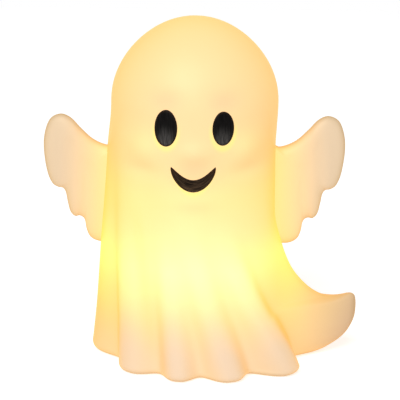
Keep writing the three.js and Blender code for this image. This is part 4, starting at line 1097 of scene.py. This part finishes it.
def cell_sleeve(node):
    """A plain cell: dark sleeve, a lighter band toward its positive end, bare metal at both ends."""
    f = Finish(f"sleeve_{node}")
    low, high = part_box(node)
    index = int(node[-1])
    place = f.coordinates()
    x = f.split(place)[0]
    along = (x - low.x) / (high.x - low.x)
    if index % 2 == 0:
        along = 1 - along
    band = along.step(*CELL_BAND)
    metal = along.step(*CELL_CAP) + (1 - along.step(*CELL_FOOT))
    scuff = f.noise(f.stretched(place, (60.0, 900.0, 900.0)), 1.0, 4.0)
    colour = f.mix(band, (0.03, 0.034, 0.045), (0.32, 0.2, 0.07))
    colour = f.mix(metal, colour, (0.6, 0.6, 0.6))
    f.set(
        Base_Color=colour,
        Metallic=metal,
        Roughness=0.24 + 0.18 * scuff,
        Normal=f.bump(scuff, 0.00003, 0.3),
    )
    return f.material


def solder_mask():
    """Green board with faint copper tracks under its mask."""
    f = Finish("board_green")
    place, x, y, _ = f.place()
    out = (x * x + y * y) ** 0.5
    track = 1 - abs(out - TRACK_R).step(*TRACK_EDGE)
    weave = f.noise(place, 900.0, 2.0)
    f.set(
        Base_Color=f.mix(track * 0.6, (0.02, 0.12, 0.05), (0.05, 0.24, 0.1)),
        Roughness=0.3 + 0.15 * weave,
        Normal=f.bump(track + 0.2 * weave, 0.00004, 0.5),
    )
    return f.material


def lamp_lens():
    """A lit warm lamp: brightest toward its tip."""
    f = Finish("lamp_lens")
    place, _, _, z = f.place()
    tip = z.step(LAMP_TOP / MM - LENS_GLOW, LAMP_TOP / MM)
    f.set(
        Base_Color=f.mix(tip, (0.9, 0.72, 0.36), (1.0, 0.92, 0.7)),
        Emission_Color=f.mix(tip, (1.0, 0.62, 0.22), (1.0, 0.9, 0.6)),
        Emission_Strength=1.5,
        Roughness=0.08 + 0.05 * f.noise(place, 500.0),
    )
    return f.material


def resistor_bands():
    """A tan body with four plain rings of paint and tinned legs."""
    f = Finish("resistor_tan")
    low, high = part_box("resistor")
    place = f.coordinates()
    x = f.split(place)[0]
    off = (x - (low.x + high.x) / 2) / MM
    colour = f.mix(f.noise(place, 400.0), (0.5, 0.36, 0.18), (0.62, 0.47, 0.26))
    for centre, paint in RINGS:
        colour = f.mix(1 - abs(off - centre).step(*RING_EDGE), colour, paint)
    leg = abs(off).step(*LEG_STEP)
    colour = f.mix(leg, colour, (0.6, 0.6, 0.58))
    f.set(Base_Color=colour, Metallic=leg, Roughness=0.3 + 0.1 * f.noise(place, 900.0))
    return f.material


def insulation(name, colour):
    """Extruded wire insulation, slightly glossy with faint length-wise drag."""
    f = Finish(name)
    place = f.coordinates()
    drag = f.noise(f.stretched(place, (900.0, 900.0, 120.0)), 1.0, 3.0)
    f.set(
        Base_Color=f.mix(drag, darker(colour, 0.85), colour),
        Roughness=0.3 + 0.15 * drag,
        Normal=f.bump(drag, 0.00003, 0.3),
    )
    return f.material


# Operators


class GHOST_OT_shells(Operator):
    """Build the two glowing shells with their wings and the tail"""

    bl_idname = "ghost.shells"
    bl_label = "Shells"

    def execute(self, context):
        material = glowing_plastic(context.scene.ghost_looks)
        sizes = context.scene.ghost_sizes
        dress(build_shell("front_half", "front_shell", sizes, True), material)
        dress(build_shell("rear_half", "rear_shell", sizes, False), material)
        return {"FINISHED"}


class GHOST_OT_face(Operator):
    """Build the two eyes and the mouth"""

    bl_idname = "ghost.face"
    bl_label = "Face"

    def execute(self, context):
        sizes = context.scene.ghost_sizes
        looks = context.scene.ghost_looks
        eye = painted_black(
            "eye_black", (26.0, 3.0, 1.0), 1.0, 0.08, looks.black, looks.streak_sheen, (0.02, 0.012, 0.007),
        )
        mouth = painted_black(
            "mouth_black", (4.0, 12.0, 1.0), 0.3, 0.55, looks.brown, looks.brown_streak_sheen, (0.03, 0.014, 0.006),
        )
        for name, node, side in (("eye_left", "left_eye", -1), ("eye_right", "right_eye", 1)):
            dress(build_eye(name, node, sizes, side), eye)
        dress(build_mouth(sizes), mouth)
        return {"FINISHED"}


class GHOST_OT_base(Operator):
    """Finish the base plate, the door, the switch, the screws and the feet"""

    bl_idname = "ghost.base"
    bl_label = "Base"

    def execute(self, context):
        cream = moulded("base_plastic", (0.72, 0.64, 0.48))
        dark = moulded("dark_plastic", (0.02, 0.02, 0.021), 0.5)
        steel = zinc_steel()
        foot = rubber()
        for node, piece in frame["nodes"].items():
            if node in ("base_plate", "battery_door", "led_post"):
                dress(piece, cream)
            elif node.startswith("switch_"):
                dress(piece, dark)
            elif node.startswith("foot_"):
                dress(piece, foot)
            elif "screw" in node or node.startswith("contact_"):
                dress(piece, steel)
        return {"FINISHED"}


class GHOST_OT_lamps(Operator):
    """Finish the cells, the lamp board, the lamps, the resistor and the leads"""

    bl_idname = "ghost.lamps"
    bl_label = "Cells and lamps"

    def execute(self, context):
        nodes = frame["nodes"]
        lens = lamp_lens()
        for node, piece in nodes.items():
            if node.startswith("battery_") and node != "battery_door":
                dress(piece, cell_sleeve(node))
            elif node.startswith("led_") and node[4:].isdigit():
                dress(piece, lens)
        dress(nodes["led_board"], solder_mask())
        dress(nodes["resistor"], resistor_bands())
        red = insulation("lead_red", (0.45, 0.02, 0.015))
        dress(nodes["lead_positive"], red)
        dress(nodes["lead_switched"], red)
        dress(nodes["lead_negative"], insulation("lead_black", (0.02, 0.02, 0.021)))
        return {"FINISHED"}


class GHOST_OT_stage(Operator):
    """Set up the camera, the soft light and the pale floor"""

    bl_idname = "ghost.stage"
    bl_label = "Stage"

    def execute(self, context):
        stage = context.scene.ghost_stage
        context.scene.view_settings.view_transform = "Standard"
        build_camera(context.scene, stage)
        build_world(context.scene, stage)
        build_floor(stage)
        build_key_light(stage)
        return {"FINISHED"}


def build_camera(scene, stage):
    """The photograph's camera: its lens makes one pixel PIXEL_AT_AIM wide at the place it looks at."""
    data = bpy.data.cameras.new("camera")
    camera = add_object("camera", data)
    back = Vector((0, -math.cos(stage.elevation), math.sin(stage.elevation)))
    data.sensor_width = SENSOR
    data.lens = stage.distance / PIXEL_AT_AIM * SENSOR / PHOTO_WIDTH
    data.shift_x = (PHOTO_WIDTH / 2 - AIM_PIXEL[0]) / PHOTO_WIDTH
    data.shift_y = (AIM_PIXEL[1] - PHOTO_WIDTH / 2) / PHOTO_WIDTH
    turn = (-back).to_track_quat("-Z", "Y").to_matrix().to_4x4()
    roll = Matrix.Rotation(stage.roll, 4, "Z")
    camera.matrix_world = Matrix.Translation(AIM + back * stage.distance) @ turn @ roll
    scene.camera = camera


def build_world(scene, stage):
    """Even soft light, and plain white where the camera, a gloss or a clear surface looks past everything."""
    scene.world = bpy.data.worlds.new("studio")
    f = Finish(scene.world)
    rays = f.node("ShaderNodeLightPath", out="Is Camera Ray")
    outputs = rays.socket.node.outputs
    gloss, clear = (Wire(f, outputs[key]) for key in ("Is Glossy Ray", "Is Transmission Ray"))
    light = f.node("ShaderNodeBackground", {}, {"Color": (1, 1, 1), "Strength": stage.sky})
    seen = f.node("ShaderNodeBackground", {}, {"Color": (1, 1, 1)})
    both = f.node("ShaderNodeMixShader", {}, (rays.most(gloss).most(clear), light, seen))
    f.plug(f.output.inputs[0], both)


def build_floor(stage):
    """A pale floor that keeps the figure's shadow, lifted to white where nothing shades it."""
    half = stage.floor_size / 2
    mesh = bpy.data.meshes.new("floor")
    corners = [(-half, -half, 0), (half, -half, 0), (half, half, 0), (-half, half, 0)]
    mesh.from_pydata(corners, [], [(0, 1, 2, 3)])
    floor = add_object("floor", mesh)
    f = Finish("floor")
    rays = f.node("ShaderNodeLightPath", out="Is Camera Ray")
    gloss = Wire(f, rays.socket.node.outputs["Is Glossy Ray"])
    f.set(Base_Color=(FLOOR_GREY, FLOOR_GREY, FLOOR_GREY), Roughness=0.9, Specular_IOR_Level=0.1)
    lift = f.node("ShaderNodeEmission", {}, {"Strength": FLOOR_LIFT * (rays + gloss)})
    both = f.node("ShaderNodeAddShader", {}, (Wire(f, f.shader.outputs[0]), lift))
    f.plug(f.output.inputs[0], both)
    dress(floor, f.material)


def build_key_light(stage):
    """One wide soft light from the upper left of the front."""
    data = bpy.data.lights.new("key", "AREA")
    data.size = KEY_SIZE
    data.energy = stage.key_power
    key = add_object("key", data)
    turn = (AIM - KEY_PLACE).to_track_quat("-Z", "Y").to_matrix().to_4x4()
    key.matrix_world = Matrix.Translation(KEY_PLACE) @ turn


class GHOST_PT_panel(Panel):
    """Lists the steps that build the figure"""

    bl_idname = "GHOST_PT_panel"
    bl_label = "Ghost figure"
    bl_space_type = "VIEW_3D"
    bl_region_type = "UI"
    bl_category = "Ghost"

    def draw(self, context):
        for group in (context.scene.ghost_sizes, context.scene.ghost_looks, context.scene.ghost_stage):
            box = self.layout.box()
            for key in group.__annotations__:
                box.prop(group, key)
        for step in STEPS:
            self.layout.operator(step.bl_idname)


STEPS = (GHOST_OT_stage, GHOST_OT_shells, GHOST_OT_face, GHOST_OT_base, GHOST_OT_lamps)
CLASSES = (GhostSizes, GhostLooks, GhostStage, *STEPS, GHOST_PT_panel)


def register():
    for made in CLASSES:
        bpy.utils.register_class(made)
    bpy.types.Scene.ghost_sizes = PointerProperty(type=GhostSizes)
    bpy.types.Scene.ghost_looks = PointerProperty(type=GhostLooks)
    bpy.types.Scene.ghost_stage = PointerProperty(type=GhostStage)


def unregister():
    del bpy.types.Scene.ghost_stage
    del bpy.types.Scene.ghost_looks
    del bpy.types.Scene.ghost_sizes
    for made in reversed(CLASSES):
        bpy.utils.unregister_class(made)


def main():
    register()
    bpy.ops.ghost.stage()
    bpy.ops.ghost.shells()
    bpy.ops.ghost.face()
    bpy.ops.ghost.base()
    bpy.ops.ghost.lamps()


if __name__ == "__main__":
    main()
